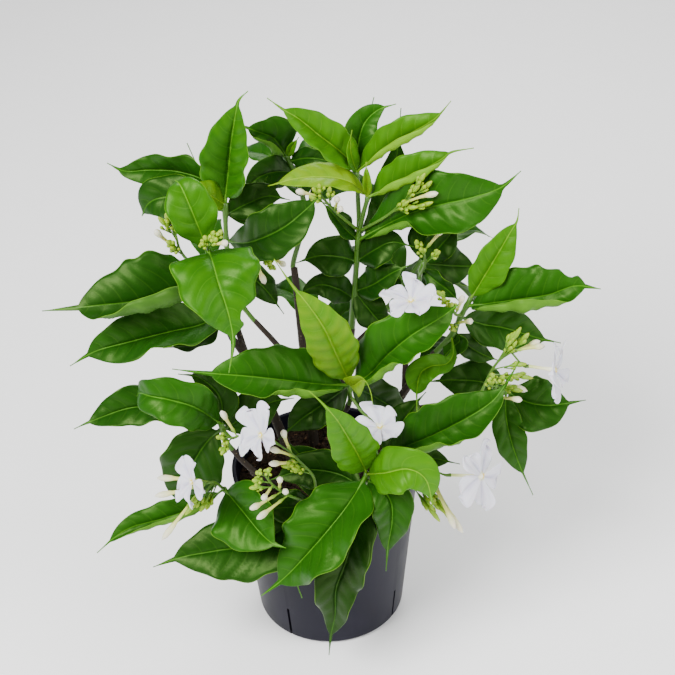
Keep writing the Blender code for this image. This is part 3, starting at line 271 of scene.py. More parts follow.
# A Mix node for colours has its share at 0, its two colours at 6 and 7, and its result at 2
COLOUR_MIX = {"data_type": "RGBA"}
FLOOR_SIZE = 9.0
LIGHT_TARGET = Vector((0.0, 0.0, 0.22))
LIGHTS = (
    ("key_light", (-0.8, -1.0, 1.6), 0.9, "key_power"),
    ("fill_light", (1.3, -0.7, 0.9), 1.2, "fill_power"),
    ("back_light", (0.3, 1.3, 1.5), 1.0, "back_power"),
)


class Leaf(NamedTuple):
    """One leaf: path of photo points from its stem to its tip.

    roll lifts its left edge toward the viewer and fold lifts both edges, in degrees at even
    steps from base to tip. Left is the left hand of someone who looks from base to tip.
    tone is its age, from 0 for old and dark to 1 for young and yellow-green. bite is a notch:
    its side, its share of the length, its depth as a share of the width and its reach. curl is how
    far a half turns over toward its edge: its side, then degrees at even steps from base to tip.
    """

    path: tuple
    half: float
    roll: tuple = (0.0, 0.0)
    fold: tuple = (20.0, 15.0)
    wave: float = 2.5
    waves: float = 2.5
    phase: float = 0.0
    drip: float = 0.16
    belly: float = 0.46
    world: bool = False
    tone: float = 0.3
    bite: tuple = ()
    curl: tuple = ()


class Stem(NamedTuple):
    """A round stem: path of photo points and its radius at each end."""

    path: tuple
    start_radius: float
    end_radius: float


class Shoot(NamedTuple):
    """A leafy stem: the woody stem and the branch that it grows on from, its stems and its leaves."""

    woody_stem: str
    branch: str
    stems: tuple
    leaves: tuple


class Spray(NamedTuple):
    """A flower cluster: its leafy stem, its stalk, and the photo points where its buds end.

    small buds stay closed and green, long ones are cream tubes with a swollen white end.
    """

    parent: str
    stalk: tuple
    small: tuple = ()
    long: tuple = ()


class Bloom(NamedTuple):
    """An open flower: its cluster, the place of its eye, the far end of its tube and the way it faces.

    spin turns its petals round the eye and cup lifts them off a flat disc, in degrees. lengths
    are its petals' lengths as shares of its radius.
    """

    parent: str
    eye: tuple
    tube_end: tuple
    facing: tuple
    radius: float
    spin: float
    cup: float
    lengths: tuple = (1.0, 1.0, 1.0, 1.0, 1.0)


class BackShoot(NamedTuple):
    """A leafy stem of the side that the photograph doesn't show, with leaves in crossed pairs."""

    woody_stem: str
    branch: str
    top: tuple
    pairs: int
    first_turn: float
    length: float
    reach: tuple


# Woody stems: each one's trunk and branches in millimetres, from inside the soil upward
WOODY_STEMS = {
    "woody_stem_left": {
        "trunk": Stem(((-24, 0, 100), (-26, -1, 140), (-38, -2, 190), (-52, -4, 240), (-62, -6, 268)),
                       4.6, 3.0),
        "left_upper": Stem(((-57, -5, 254), (-64, 8, 278), (-66, 16, 298)), 2.6, 2.2),
        "left_front": Stem(((-60, -5, 258), (-66, -10, 274), (-69, -16, 288)), 2.8, 2.3),
    },
    "woody_stem_low_left": {
        "trunk": Stem(((-30, -30, 100), (-33, -31, 136), (-44, -38, 156), (-56, -44, 172)), 3.8, 2.8),
        "low_left_upper": Stem(((-54, -43, 170), (-64, -46, 186), (-70, -48, 198)), 2.4, 2.1),
        "low_left_lower": Stem(((-46, -39, 158), (-56, -46, 158), (-65, -54, 161)), 2.4, 2.0),
    },
    "woody_stem_middle": {
        "trunk": Stem(((4, 14, 100), (6, 16, 140), (14, 26, 190), (21, 34, 228), (24, 38, 246)), 4.8,
                       3.2),
        "centre": Stem(((10, 21, 166), (14, 6, 186), (18, -8, 202), (20, -17, 214)), 2.8, 2.2),
    },
    "woody_stem_front": {
        "trunk": Stem(((6, -36, 100), (8, -38, 138), (13, -47, 148), (19, -56, 157)), 3.6, 2.4),
        "front_left": Stem(((8, -38, 138), (1, -45, 146), (-5, -50, 150)), 2.2, 1.9),
        "front_right": Stem(((10, -41, 144), (19, -37, 154), (28, -34, 162)), 2.3, 2.0),
    },
    "woody_stem_right": {
        "trunk": Stem(((32, 2, 100), (34, 2, 140), (50, 3, 182), (72, 4, 222), (88, 4, 244)), 4.4, 2.8),
        "right_lower": Stem(((52, 3, 187), (78, -2, 196), (100, -6, 202)), 2.6, 2.1),
        "right_back": Stem(((64, 4, 208), (66, 20, 236), (68, 30, 256)), 2.6, 2.1),
    },
    "woody_stem_back": {
        "trunk": Stem(((-8, 40, 100), (-10, 42, 140), (-14, 64, 190), (-18, 86, 240), (-20, 96, 268)),
                       4.4, 2.8),
        "back_left": Stem(((-13, 58, 178), (-34, 74, 204), (-54, 84, 226)), 2.6, 2.1),
        "back_right": Stem(((-12, 52, 162), (16, 76, 190), (44, 90, 214)), 2.6, 2.1),
        "back_low": Stem(((-10, 45, 150), (-6, 66, 164), (-4, 84, 176)), 2.4, 2.0),
    },
}

# Leafy stems that the photograph shows, with the woody stem and the branch that each grows on from
SHOOTS = {
    "leafy_stem_top": Shoot("woody_stem_middle", "trunk", stems=(
        Stem(((356, 270, 40), (358, 240, 40), (363, 215, 39), (368, 197, 38)), 2.8, 1.6),
        Stem(((357, 250, 40), (359, 225, 44), (358, 200, 47), (357, 172, 49)), 2.2, 1.5),
    ), leaves=(
        Leaf(((367, 196, 38), (352, 183, 36), (330, 177, 34), (300, 178, 30), (268, 186, 28)), 13,
             roll=(45, 40), fold=(12, 8), wave=1.0, drip=0.1, tone=0.95),
        Leaf(((369, 196, 38), (390, 186, 32), (412, 176, 27), (440, 160, 22), (452, 152, 20),
             (474, 148, 19)), 17, roll=(-46, -46, -40), fold=(58, 56, 40), wave=1.5, drip=0.2, tone=0.72,
             curl=("right", 60, 110, 90)),
        Leaf(((358, 171, 49), (374, 157, 44), (395, 142, 40), (425, 125, 35), (438, 116, 32),
             (451, 101, 30)), 15, roll=(-44, -44, -40), fold=(60, 56, 40), wave=1.5, drip=0.14, belly=0.5,
             tone=0.78, curl=("right", 60, 110, 90)),
        Leaf(((357, 171, 49), (344, 155, 45), (320, 136, 40), (299, 119, 36), (284, 110, 34),
             (267, 98, 32)), 17, roll=(18, 12), fold=(42, 30), wave=1.5, drip=0.17, tone=0.76),
        Leaf(((357, 168, 50), (358, 146, 60), (364, 124, 66), (378, 110, 68), (396, 104, 68)), 14,
             roll=(10, -20), fold=(38, 20), wave=2.0, drip=0.14, tone=0.5),
        Leaf(((367, 197, 38), (367, 184, 35), (366, 162, 32)), 4.5, fold=(40, 40), wave=0.0, tone=0.9),
        Leaf(((357, 173, 49), (352, 158, 42), (350, 144, 38), (352, 130, 36)), 6, roll=(30, 30), wave=0.5,
             tone=0.8),
        Leaf(((358, 236, 42), (379, 216, 56), (391, 190, 62), (397, 155, 66), (401, 108, 66)), 14,
             fold=(25, 15), drip=0.26, tone=0.2),
        Leaf(((359, 240, 40), (378, 229, 31), (410, 214, 22), (440, 205, 16), (470, 198, 12),
             (500, 188, 10), (521, 171, 10)), 27, roll=(-44, -32, 8, 8), fold=(58, 46, 12, 10), wave=4.0,
             waves=3.0, phase=0.5, drip=0.13, belly=0.56, tone=0.46, curl=("right", 130, 120, 0, 0)),
        Leaf(((357, 240, 40), (345, 229, 38), (332, 213, 37), (320, 200, 36)), 9, roll=(35, 30), wave=1.0,
             tone=0.25),
        Leaf(((356, 262, 40), (340, 257, 34), (318, 256, 30), (296, 263, 26)), 17, fold=(15, 15),
             tone=0.2),
        Leaf(((358, 262, 40), (374, 250, 35), (392, 242, 32), (414, 247, 30)), 15, roll=(-10, 0),
             tone=0.15),
        Leaf(((356, 292, 40), (372, 285, 33), (392, 273, 28), (412, 264, 27)), 14, roll=(-10, -10),
             tone=0.2),
        Leaf(((355, 300, 38), (338, 289, 30), (318, 285, 26), (292, 298, 22)), 12, tone=0.12),
        Leaf(((357, 172, 50), (362, 150, 68), (367, 125, 76), (374, 97, 78)), 7, drip=0.3, tone=0.35),
        Leaf(((356, 292, 40), (368, 308, 34), (380, 322, 30), (394, 334, 28)), 14, tone=0.12),
    )),
    "leafy_stem_upper_left": Shoot("woody_stem_left", "left_upper", stems=(
        Stem(((228, 262, 22), (226, 235, 27), (225, 203, 31)), 2.1, 1.7),
    ), leaves=(
        Leaf(((225, 203, 31), (228, 172, 30), (231, 142, 27), (236, 112, 24), (239, 100, 23),
             (248, 91, 22)), 23, roll=(-17, -17), fold=(40, 36), wave=1.5, belly=0.42, tone=0.62,
             curl=("left", -15, -15)),
        Leaf(((225, 205, 31), (209, 195, 18), (188, 183, 10)), 11, roll=(35, 35), wave=0.5, drip=0.1,
             tone=0.88),
        Leaf(((224, 204, 32), (208, 186, 54), (197, 165, 64), (187, 143, 68)), 9, wave=1.0, drip=0.4),
        Leaf(((225, 208, 31), (208, 183, 40), (180, 172, 48), (150, 170, 52), (125, 171, 53),
             (107, 163, 53)), 17, roll=(-8, -8), fold=(44, 34), wave=3.5, waves=3.5, phase=0.6, drip=0.1,
             tone=0.36),
        Leaf(((226, 212, 30), (205, 203, 28), (180, 197, 29), (160, 198, 30), (148, 204, 32),
             (142, 216, 34)), 17, fold=(10, 5), wave=3.0, drip=0.05, belly=0.6, tone=0.26),
        Leaf(((226, 214, 31), (244, 206, 42), (258, 192, 50), (268, 176, 56)), 17, tone=0.15),
        Leaf(((227, 240, 26), (244, 243, 8), (262, 238, 0), (284, 227, -4), (303, 212, -2),
             (318, 198, 4)), 20, fold=(15, 20), wave=2.0, drip=0.05, belly=0.58, tone=0.24),
        Leaf(((228, 262, 22), (248, 274, 27), (266, 290, 30), (284, 314, 30)), 12, tone=0.12),
        Leaf(((226, 214, 31), (246, 204, 36), (268, 196, 40), (290, 200, 40)), 15, tone=0.12),
    )),
    "leafy_stem_left_front": Shoot("woody_stem_left", "left_front", stems=(
        Stem(((222, 312, -26), (216, 285, -34), (208, 250, -40)), 2.2, 1.7),
    ), leaves=(
        Leaf(((207, 250, -40), (197, 224, -42), (187, 200, -39), (180, 185, -33), (175, 180, -24)), 18,
             fold=(26, 10), wave=1.0, drip=0.06, belly=0.56, tone=0.66),
        Leaf(((209, 250, -40), (213, 262, -62), (219, 284, -80), (228, 312, -90), (233, 342, -94),
             (229, 373, -95)), 30, roll=(0, -14), fold=(8, 8), wave=4.0, waves=3.0, phase=2.4, drip=0.28,
             belly=0.37, tone=0.62, bite=("left", 0.6, 0.5, 0.05)),
        Leaf(((208, 256, -38), (192, 280, -50), (160, 294, -60), (130, 302, -64), (100, 305, -66),
             (75, 308, -66), (42, 311, -66)), 31, roll=(48, 42, 5), fold=(56, 50, 15), wave=2.0, drip=0.2,
             tone=0.26, curl=("left", 120, 110, 60, 0)),
        Leaf(((222, 316, -28), (200, 325, -44), (170, 332, -54), (130, 342, -60), (96, 351, -62),
             (70, 366, -62)), 23, roll=(20, 22, -4), fold=(40, 40, 18), wave=3.0, phase=0.4, drip=0.14,
             belly=0.5, tone=0.32),
        Leaf(((222, 322, -26), (205, 338, -30), (186, 345, -32), (163, 348, -34)), 10, roll=(40, 40),
             tone=0.12),
    )),
    "leafy_stem_low_left_upper": Shoot("woody_stem_low_left", "low_left_upper", stems=(
        Stem(((226, 440, -48), (221, 424, -49)), 2.0, 1.6),
    ), leaves=(
        Leaf(((221, 424, -49), (196, 408, -72), (170, 400, -79), (150, 396, -76), (140, 393, -67),
             (137, 396, -54)), 18, roll=(4, 0), fold=(26, 10), wave=2.0, drip=0.08, belly=0.5, tone=0.46),
        Leaf(((220, 424, -48), (195, 416, -48), (165, 408, -50), (130, 408, -52), (92, 421, -54),
             (74, 429, -54)), 17, roll=(22, 10), fold=(30, 22), wave=3.0, waves=3.0, drip=0.12,
             belly=0.56),
        Leaf(((222, 428, -48), (207, 442, -52), (193, 464, -55), (182, 490, -56), (176, 514, -56)), 25,
             fold=(12, 12), wave=2.0, tone=0.18),
        Leaf(((223, 428, -47), (220, 398, -38), (200, 378, -36), (178, 374, -36)), 14, tone=0.12),
        Leaf(((224, 430, -48), (248, 414, -32), (272, 402, -24), (294, 398, -20)), 17, tone=0.12),
    )),
    "leafy_stem_low_left_lower": Shoot("woody_stem_low_left", "low_left_lower", stems=(
        Stem(((229, 494, -65), (224, 489, -69)), 1.9, 1.6),
    ), leaves=(
        Leaf(((224, 489, -69), (200, 505, -76), (165, 518, -80), (132, 527, -86), (114, 538, -90),
             (97, 553, -92)), 13, roll=(38, 34, 20), fold=(48, 44, 30), wave=1.5, drip=0.14, tone=0.42,
             curl=("left", 100, 100, 60)),
        Leaf(((225, 490, -70), (243, 511, -90), (260, 532, -106), (272, 543, -116), (286, 548, -121)), 28,
             roll=(25, 15), fold=(30, 18), drip=0.14, tone=0.5),
    )),
    "leafy_stem_centre": Shoot("woody_stem_middle", "centre", stems=(
        Stem(((350, 394, -26), (350, 382, -30)), 2.0, 1.6),
    ), leaves=(
        Leaf(((349, 384, -30), (338, 358, -44), (325, 330, -52), (309, 306, -54), (292, 285, -52),
             (274, 259, -50)), 18.5, fold=(14, 14), wave=1.0, drip=0.22, belly=0.48, tone=0.88),
        Leaf(((349, 386, -30), (318, 384, -44), (282, 380, -54), (245, 376, -60), (206, 373, -62),
             (172, 369, -62)), 26, roll=(34, 26, 0), fold=(42, 36, 14), waves=3.0, drip=0.2, belly=0.5,
             tone=0.48, curl=("left", 130, 110, 30, 0)),
        Leaf(((352, 386, -30), (370, 374, -36), (388, 355, -42), (412, 335, -44), (440, 318, -42),
             (459, 304, -38)), 25, roll=(-38, -28, -4), fold=(50, 40, 14), wave=2.0, drip=0.06, belly=0.5,
             tone=0.54, curl=("right", 140, 120, 40, 0)),
        Leaf(((351, 388, -30), (356, 384, -46), (364, 380, -59), (370, 390, -67), (373, 405, -71)), 9.5,
             roll=(20, 0), fold=(20, 20), wave=0.5, drip=0.3, belly=0.4, tone=1.0),
        Leaf(((350, 385, -29), (325, 403, -16), (300, 420, -16), (278, 440, -16)), 17, tone=0.15),
        Leaf(((350, 384, -29), (375, 397, -12), (400, 412, -6), (424, 424, -4)), 16, tone=0.12),
    )),
    "leafy_stem_front": Shoot("woody_stem_front", "trunk", stems=(
        Stem(((362, 492, -68), (367, 473, -72)), 2.0, 1.6),
    ), leaves=(
        Leaf(((366, 476, -72), (348, 505, -92), (326, 533, -104), (302, 560, -110), (282, 580, -111),
             (261, 596, -111)), 30, roll=(22, 18), fold=(28, 22), wave=5.5, waves=3.5, phase=1.2,
             belly=0.44, tone=0.48),
        Leaf(((368, 475, -72), (384, 473, -92), (408, 469, -103), (426, 480, -107), (433, 508, -108)), 18,
             roll=(-8, 0), fold=(15, 10), wave=1.0, drip=0.12, belly=0.5, tone=0.78),
        Leaf(((367, 471, -72), (359, 457, -87), (350, 441, -97), (337, 420, -103), (322, 403, -106),
             (309, 391, -107)), 17.5, fold=(14, 14), wave=1.0, drip=0.18, tone=0.8),
        Leaf(((366, 480, -71), (380, 487, -84), (391, 502, -92), (392, 522, -96), (388, 546, -98),
             (386, 571, -99)), 18, fold=(24, 20), wave=2.0, drip=0.22, belly=0.3, tone=0.34),
        Leaf(((364, 486, -70), (362, 505, -84), (354, 535, -97), (345, 565, -104), (336, 590, -108),
             (335, 615, -110), (331, 635, -111), (329, 655, -111)), 20, roll=(4, 0), fold=(24, 20),
             wave=5.0, waves=3.0, phase=0.9, drip=0.15, belly=0.42, tone=0.05),
        Leaf(((363, 486, -68), (338, 474, -56), (305, 470, -52), (270, 480, -54)), 17, drip=0.1,
             tone=0.12),
    )),
    "leafy_stem_front_left": Shoot("woody_stem_front", "front_left", stems=(
        Stem(((316, 505, -68),), 1.8, 1.5),
    ), leaves=(
        Leaf(((316, 506, -68), (285, 528, -80), (250, 545, -86), (215, 551, -89), (182, 557, -91),
             (153, 567, -92)), 28, roll=(8, 2), fold=(12, 12), wave=2.0, waves=3.5, drip=0.14, tone=0.27),
        Leaf(((316, 506, -67), (313, 530, -86), (305, 560, -94), (297, 580, -97), (302, 598, -98)), 11,
             wave=1.0, drip=0.25, tone=0.5),
        Leaf(((320, 500, -62), (314, 476, -46), (300, 455, -40), (284, 440, -38)), 18, tone=0.12),
        Leaf(((316, 505, -68), (296, 507, -75), (274, 509, -80), (254, 516, -82)), 14, tone=0.14),
    )),
    "leafy_stem_front_right": Shoot("woody_stem_front", "front_right", stems=(
        Stem(((378, 462, -34), (384, 455, -38)), 1.9, 1.6),
    ), leaves=(
        Leaf(((384, 456, -38), (402, 448, -48), (432, 436, -56), (465, 419, -60), (490, 403, -58),
             (503, 388, -54), (519, 362, -50)), 25, roll=(-36, -14, 0), fold=(54, 40, 18), drip=0.18,
             belly=0.5, tone=0.4, curl=("right", 130, 110, 30, 0)),
        Leaf(((384, 457, -38), (405, 457, -40), (430, 458, -42), (460, 464, -44)), 11, tone=0.15),
        Leaf(((384, 456, -37), (398, 430, -22), (412, 408, -16), (426, 392, -14)), 15, tone=0.12),
    )),
    "leafy_stem_right": Shoot("woody_stem_right", "trunk", stems=(
        Stem(((452, 335, 2), (460, 318, 1), (471, 298, 0)), 2.3, 1.7),
    ), leaves=(
        Leaf(((470, 300, 0), (485, 275, -2), (500, 250, -2), (511, 231, 0), (517, 221, 1), (519, 208, 2)),
             14.5, roll=(10, 6), fold=(24, 20), wave=1.0, tone=0.74),
        Leaf(((467, 306, 0), (485, 304, -8), (515, 300, -12), (548, 295, -14), (575, 286, -14),
             (601, 289, -14)), 25, roll=(-40, -36, -4), fold=(56, 50, 18), wave=3.0, waves=3.0, phase=1.0,
             drip=0.12, belly=0.52, tone=0.46, curl=("right", 120, 120, 90, 0),
             bite=("left", 0.79, 0.4, 0.03)),
        Leaf(((462, 316, 2), (482, 324, 8), (505, 328, 10), (538, 338, 10), (561, 343, 10)), 18,
             fold=(15, 12), wave=2.0),
        Leaf(((456, 330, 2), (460, 340, 0), (452, 348, 0), (442, 359, -2)), 9, roll=(20, 20), drip=0.1,
             tone=0.45),
        Leaf(((455, 333, 3), (466, 344, 6), (482, 354, 8), (500, 361, 8)), 10, drip=0.12, tone=0.25),
        Leaf(((453, 337, 1), (453, 354, -16), (446, 364, -24), (432, 366, -30), (421, 373, -32),
             (417, 390, -32), (417, 415, -32)), 11, roll=(20, 0), fold=(15, 30), wave=1.0, drip=0.22,
             belly=0.7, tone=0.72),
        Leaf(((453, 337, 3), (442, 348, 26), (427, 361, 34), (408, 378, 32)), 15, tone=0.14),
    )),
    "leafy_stem_right_back": Shoot("woody_stem_right", "right_back", stems=(
        Stem(((418, 296, 38), (420, 275, 37), (424, 262, 36)), 2.0, 1.6),
    ), leaves=(
        Leaf(((424, 263, 36), (444, 265, 40), (462, 266, 43), (477, 266, 45)), 16, fold=(10, 10),
             drip=0.08, tone=0.14),
        Leaf(((424, 264, 36), (440, 246, 34), (452, 232, 32), (458, 216, 30)), 12, drip=0.2, tone=0.2),
        Leaf(((422, 270, 36), (436, 281, 26), (448, 290, 22), (459, 301, 20)), 9, roll=(30, 30), drip=0.1,
             tone=0.2),
        Leaf(((424, 263, 37), (430, 238, 44), (442, 222, 50), (458, 205, 56)), 18, tone=0.18),
    )),
    "leafy_stem_right_lower": Shoot("woody_stem_right", "right_lower", stems=(
        Stem(((490, 400, -9), (506, 391, -11)), 1.9, 1.6),
    ), leaves=(
        Leaf(((505, 392, -11), (482, 382, 6), (450, 380, 4), (426, 382, 6)), 17, fold=(5, 15), tone=0.2),
        Leaf(((507, 392, -11), (506, 415, -28), (511, 440, -36), (520, 466, -40), (533, 495, -41)), 13,
             fold=(18, 15), wave=1.0, drip=0.26, tone=0.34),
        Leaf(((508, 392, -11), (525, 401, -18), (545, 405, -22), (562, 404, -23), (586, 400, -23)), 23,
             fold=(20, 16), wave=2.0, drip=0.22, tone=0.28),
    )),
    "leafy_stem_back_top": Shoot("woody_stem_back", "trunk", stems=(
        Stem(((305, 215, 98), (297, 180, 96), (287, 156, 94)), 2.2, 1.5),
    ), leaves=(
        Leaf(((287, 156, 94), (274, 139, 84), (258, 132, 79), (238, 124, 76)), 19, roll=(34, 34),
             fold=(46, 40), tone=0.34, curl=("left", 110, 110)),
        Leaf(((287, 157, 94), (292, 147, 90), (299, 137, 86)), 4, fold=(30, 30), wave=0.0, tone=0.8),
        Leaf(((289, 162, 94), (306, 158, 86), (325, 160, 80), (345, 167, 76)), 9, tone=0.25),
        Leaf(((294, 173, 95), (276, 172, 84), (258, 178, 74), (238, 196, 68)), 14, tone=0.18),
        Leaf(((-16, 96, 352), (2, 116, 362), (24, 136, 358), (44, 150, 342)), 17, world=True, tone=0.4),
        Leaf(((-18, 96, 352), (-38, 114, 362), (-62, 130, 354), (-84, 140, 336)), 17, world=True,
             tone=0.4),
        Leaf(((-16, 98, 328), (-14, 124, 336), (-10, 150, 328), (-6, 172, 306)), 20, world=True),
        Leaf(((-16, 98, 326), (12, 106, 332), (44, 114, 326), (74, 122, 308)), 18, world=True),
    )),
}

# Flower clusters, with the leafy stem that each grows on
SPRAYS = {
    "spray_top_right": Spray(
        "leafy_stem_top", ((360, 232, 38), (385, 217, 26), (411, 197, 18)),
        small=((425, 173, 16), (432, 181, 15), (420, 184, 15), (409, 201, 14), (418, 207, 13),
               (433, 202, 12)),
        long=((438, 193, 10),)),
    "spray_top_middle": Spray(
        "leafy_stem_top", ((356, 234, 36), (338, 214, 26), (320, 195, 18)),
        small=((312, 188, 13), (319, 184, 12), (330, 187, 14), (309, 196, 11)),
        long=((296, 191, 8), (337, 198, 10), (341, 208, 12))),
    "spray_left_front": Spray(
        "leafy_stem_left_front", ((207, 254, -44), (208, 248, -54), (210, 244, -60)),
        small=((204, 236, -60), (214, 231, -58), (222, 230, -58), (201, 243, -62), (217, 238, -62)),
        long=((228, 243, -64),)),
    "spray_left": Spray(
        "leafy_stem_left_front", ((204, 268, -34), (190, 262, -32), (180, 250, -32), (176, 236, -34)),
        small=((158, 217, -38), (166, 213, -38), (173, 219, -36), (166, 241, -42), (170, 247, -42)),
        long=((155, 230, -44),)),
    "spray_behind_left": Spray(
        "leafy_stem_upper_left", ((228, 250, 24), (250, 252, 16), (268, 254, 12)),
        small=((272, 266, 10), (276, 270, 12)),
        long=((265, 284, 6), (286, 266, 8))),
    "spray_right_back": Spray(
        "leafy_stem_right_back", ((421, 280, 32), (425, 264, 20), (424, 250, 14)),
        small=((416, 240, 12), (420, 248, 8), (440, 251, 8)),
        long=((444, 227, 6),)),
    "spray_centre_right": Spray(
        "leafy_stem_right", ((458, 320, -6), (455, 314, -17), (452, 306, -23)),
        small=((436, 291, -24), (442, 298, -26), (446, 303, -28), (452, 303, -30)),
        long=((463, 296, -24),)),
    "spray_right_small": Spray(
        "leafy_stem_right", ((456, 326, -4), (455, 324, -14), (455, 324, -20)),
        small=((452, 330, -26),),
        long=((473, 321, -24),)),
    "spray_right_large": Spray(
        "leafy_stem_right_lower", ((485, 401, -14), (481, 394, -32), (496, 364, -34), (514, 350, -34)),
        small=((516, 331, -34), (521, 327, -34), (529, 333, -34), (517, 341, -36), (533, 378, -44),
               (527, 364, -42), (523, 391, -46), (520, 376, -46)),
        long=((545, 346, -36), (540, 341, -30), (527, 391, -42))),
    "spray_right_low": Spray(
        "leafy_stem_right_lower", ((497, 397, -18), (493, 396, -40), (497, 385, -53)),
        small=((488, 379, -56), (492, 373, -54), (504, 375, -54)),
        long=((522, 400, -56),)),
    "spray_front_right": Spray(
        "leafy_stem_front", ((366, 482, -74), (390, 478, -70), (415, 474, -68), (433, 470, -70)),
        small=((438, 508, -80), (446, 514, -82), (440, 522, -86), (452, 522, -82)),
        long=((463, 533, -84), (455, 529, -88))),
    "spray_front_left": Spray(
        "leafy_stem_front_left", ((316, 498, -72), (314, 478, -78), (300, 462, -82), (290, 452, -84)),
        small=((286, 462, -88), (292, 468, -90), (281, 466, -88)),
        long=((283, 430, -84), (270, 449, -92), (269, 464, -94))),
    "spray_front_low": Spray(
        "leafy_stem_front_left", ((310, 506, -76), (290, 496, -88), (274, 486, -94), (264, 474, -96)),
        small=((252, 480, -98), (256, 472, -98), (268, 468, -96), (249, 488, -98)),
        long=((263, 499, -115), (257, 519, -119), (285, 492, -106), (280, 478, -100), (250, 509, -115))),
    "spray_low_left": Spray(
        "leafy_stem_low_left_upper", ((224, 434, -54), (232, 438, -66), (238, 436, -72)),
        small=((216, 437, -76), (222, 445, -76), (221, 455, -78)),
        long=((221, 411, -74),)),
    "spray_lower_left": Spray(
        "leafy_stem_low_left_lower", ((226, 486, -74), (214, 482, -84), (204, 484, -88)),
        small=((190, 509, -100), (200, 512, -98), (206, 510, -96), (185, 515, -102)),
        long=((157, 478, -86), (155, 496, -88), (162, 540, -104))),
    "spray_top_front": Spray(
        "leafy_stem_centre", ((351, 398, -27), (362, 412, -36), (376, 424, -42)),
        small=((388, 420, -38),)),
    "spray_upper_right": Spray(
        "leafy_stem_right_back", ((417, 292, 30), (412, 300, 14), (410, 306, 0)),
        small=((404, 309, -4), (417, 309, -6))),
}

# Open flowers, with the flower cluster that each grows on
BLOOMS = {
    "bloom_upper_right": Bloom("spray_upper_right", (411, 301, -50), (410, 303, -26), (-0.15, -0.2, 0.95),
        21, 64, 22, lengths=(1.0, 1.0, 0.95, 0.85, 0.8)),
    "bloom_front_left": Bloom("spray_front_left", (261, 435, -98), (274, 442, -90), (-0.77, -0.43, 0.47),
        24, 110, 20, lengths=(1.0, 0.9, 0.75, 0.8, 1.0)),
    "bloom_centre": Bloom("spray_top_front", (380, 427, -60), (382, 424, -50), (-0.2, -0.2, 0.95), 23, 90,
        20, lengths=(0.95, 1.0, 0.9, 0.75, 0.62)),
    "bloom_lower_left": Bloom("spray_lower_left", (192, 482, -112), (202, 483, -103),
        (-0.85, -0.41, 0.28), 22, 100, 18, lengths=(0.9, 0.85, 1.0, 0.85, 0.95)),
    "bloom_front_right": Bloom("spray_front_right", (482, 476, -78), (450, 475, -78), (0.75, -0.6, 0.29),
        25, 55, 0),
    "bloom_far_right": Bloom("spray_right_large", (555, 370, -44), (528, 366, -40), (0.9, -0.35, 0.2), 22,
        90, 16),
}

# Leafy stems of the back, in millimetres; reach is the range of headings of their leaves
BACK_SHOOTS = {
    "leafy_stem_back_left": BackShoot("woody_stem_back", "back_left", (-88, 104, 268), 3, 100.0, 108,
        (70, 215)),
    "leafy_stem_back_low": BackShoot("woody_stem_back", "back_low", (-2, 108, 204), 2, 40.0, 100,
        (0, 180)),
    "leafy_stem_back_right": BackShoot("woody_stem_back", "back_right", (84, 112, 262), 3, 30.0, 108,
        (-30, 120)),
}


# The photograph's camera

def camera_axes():
    """Right, up and forward of the photograph's camera."""
    pitch = math.radians(CAMERA_PITCH)
    roll = math.radians(CAMERA_ROLL)
    forward = Vector((0.0, math.cos(pitch), -math.sin(pitch)))
    level_right = Vector((1.0, 0.0, 0.0))
    level_up = level_right.cross(forward)
    right = math.cos(roll) * level_right - math.sin(roll) * level_up
    return right, right.cross(forward), forward


CAMERA_RIGHT, CAMERA_UP, CAMERA_FORWARD = camera_axes()


def seen(px, py, y):
    """The place at depth y that the photograph shows at the pixel (px, py)."""
    focal = PHOTO_WIDTH * LENS / SENSOR
    middle = PHOTO_WIDTH / 2
    ray = CAMERA_FORWARD + CAMERA_RIGHT * ((px - middle) / focal) - CAMERA_UP * ((py - middle) / focal)
    return CAMERA_PLACE + ray * ((y - CAMERA_PLACE.y) / ray.y)


# Lines through points

def smooth_track(points):
    """A smooth line through the points, with evenly spaced samples."""
    if len(points) == 2:
        return [points[0].lerp(points[1], i / PATH_SAMPLES) for i in range(PATH_SAMPLES + 1)]
    ends = [2 * points[0] - points[1], *points, 2 * points[-1] - points[-2]]
    dense = []
    for a, b, c, d in zip(ends, ends[1:], ends[2:], ends[3:]):
        for i in range(PATH_SAMPLES):
            t = i / PATH_SAMPLES
            dense.append(0.5 * (2 * b + (c - a) * t + (2 * a - 5 * b + 4 * c - d) * t ** 2
                                + (3 * b - a - 3 * c + d) * t ** 3))
    dense.append(points[-1].copy())
    lengths = [0.0]
    for a, b in zip(dense, dense[1:]):
        lengths.append(lengths[-1] + (b - a).length)
    even = []
    at = 0
    for i in range(PATH_SAMPLES + 1):
        want = lengths[-1] * i / PATH_SAMPLES
        while at < len(dense) - 2 and lengths[at + 1] < want:
            at += 1
        share = (want - lengths[at]) / max(lengths[at + 1] - lengths[at], 1e-9)
        even.append(dense[at].lerp(dense[at + 1], min(max(share, 0.0), 1.0)))
    return even


def track_length(track):
    return sum((b - a).length for a, b in zip(track, track[1:]))


def on_track(track, share):
    """The place and the direction at a share of the track."""
    place = share * (len(track) - 1)
    i = min(int(place), len(track) - 2)
    before = track[max(i - TANGENT_REACH, 0)]
    after = track[min(i + TANGENT_REACH + 1, len(track) - 1)]
    return track[i].lerp(track[i + 1], place - i), (after - before).normalized()


def square_to(vector, direction):
    return (vector - direction * vector.dot(direction)).normalized()


def carried_normals(tangents, start, start_normal):
    """Normals that turn no more than the track does, from the station named start."""
    normals = [None] * len(tangents)
    normals[start] = square_to(start_normal, tangents[start])
    for i in range(start + 1, len(tangents)):
        normals[i] = square_to(normals[i - 1], tangents[i])
    for i in range(start - 1, -1, -1):
        normals[i] = square_to(normals[i + 1], tangents[i])
    return normals


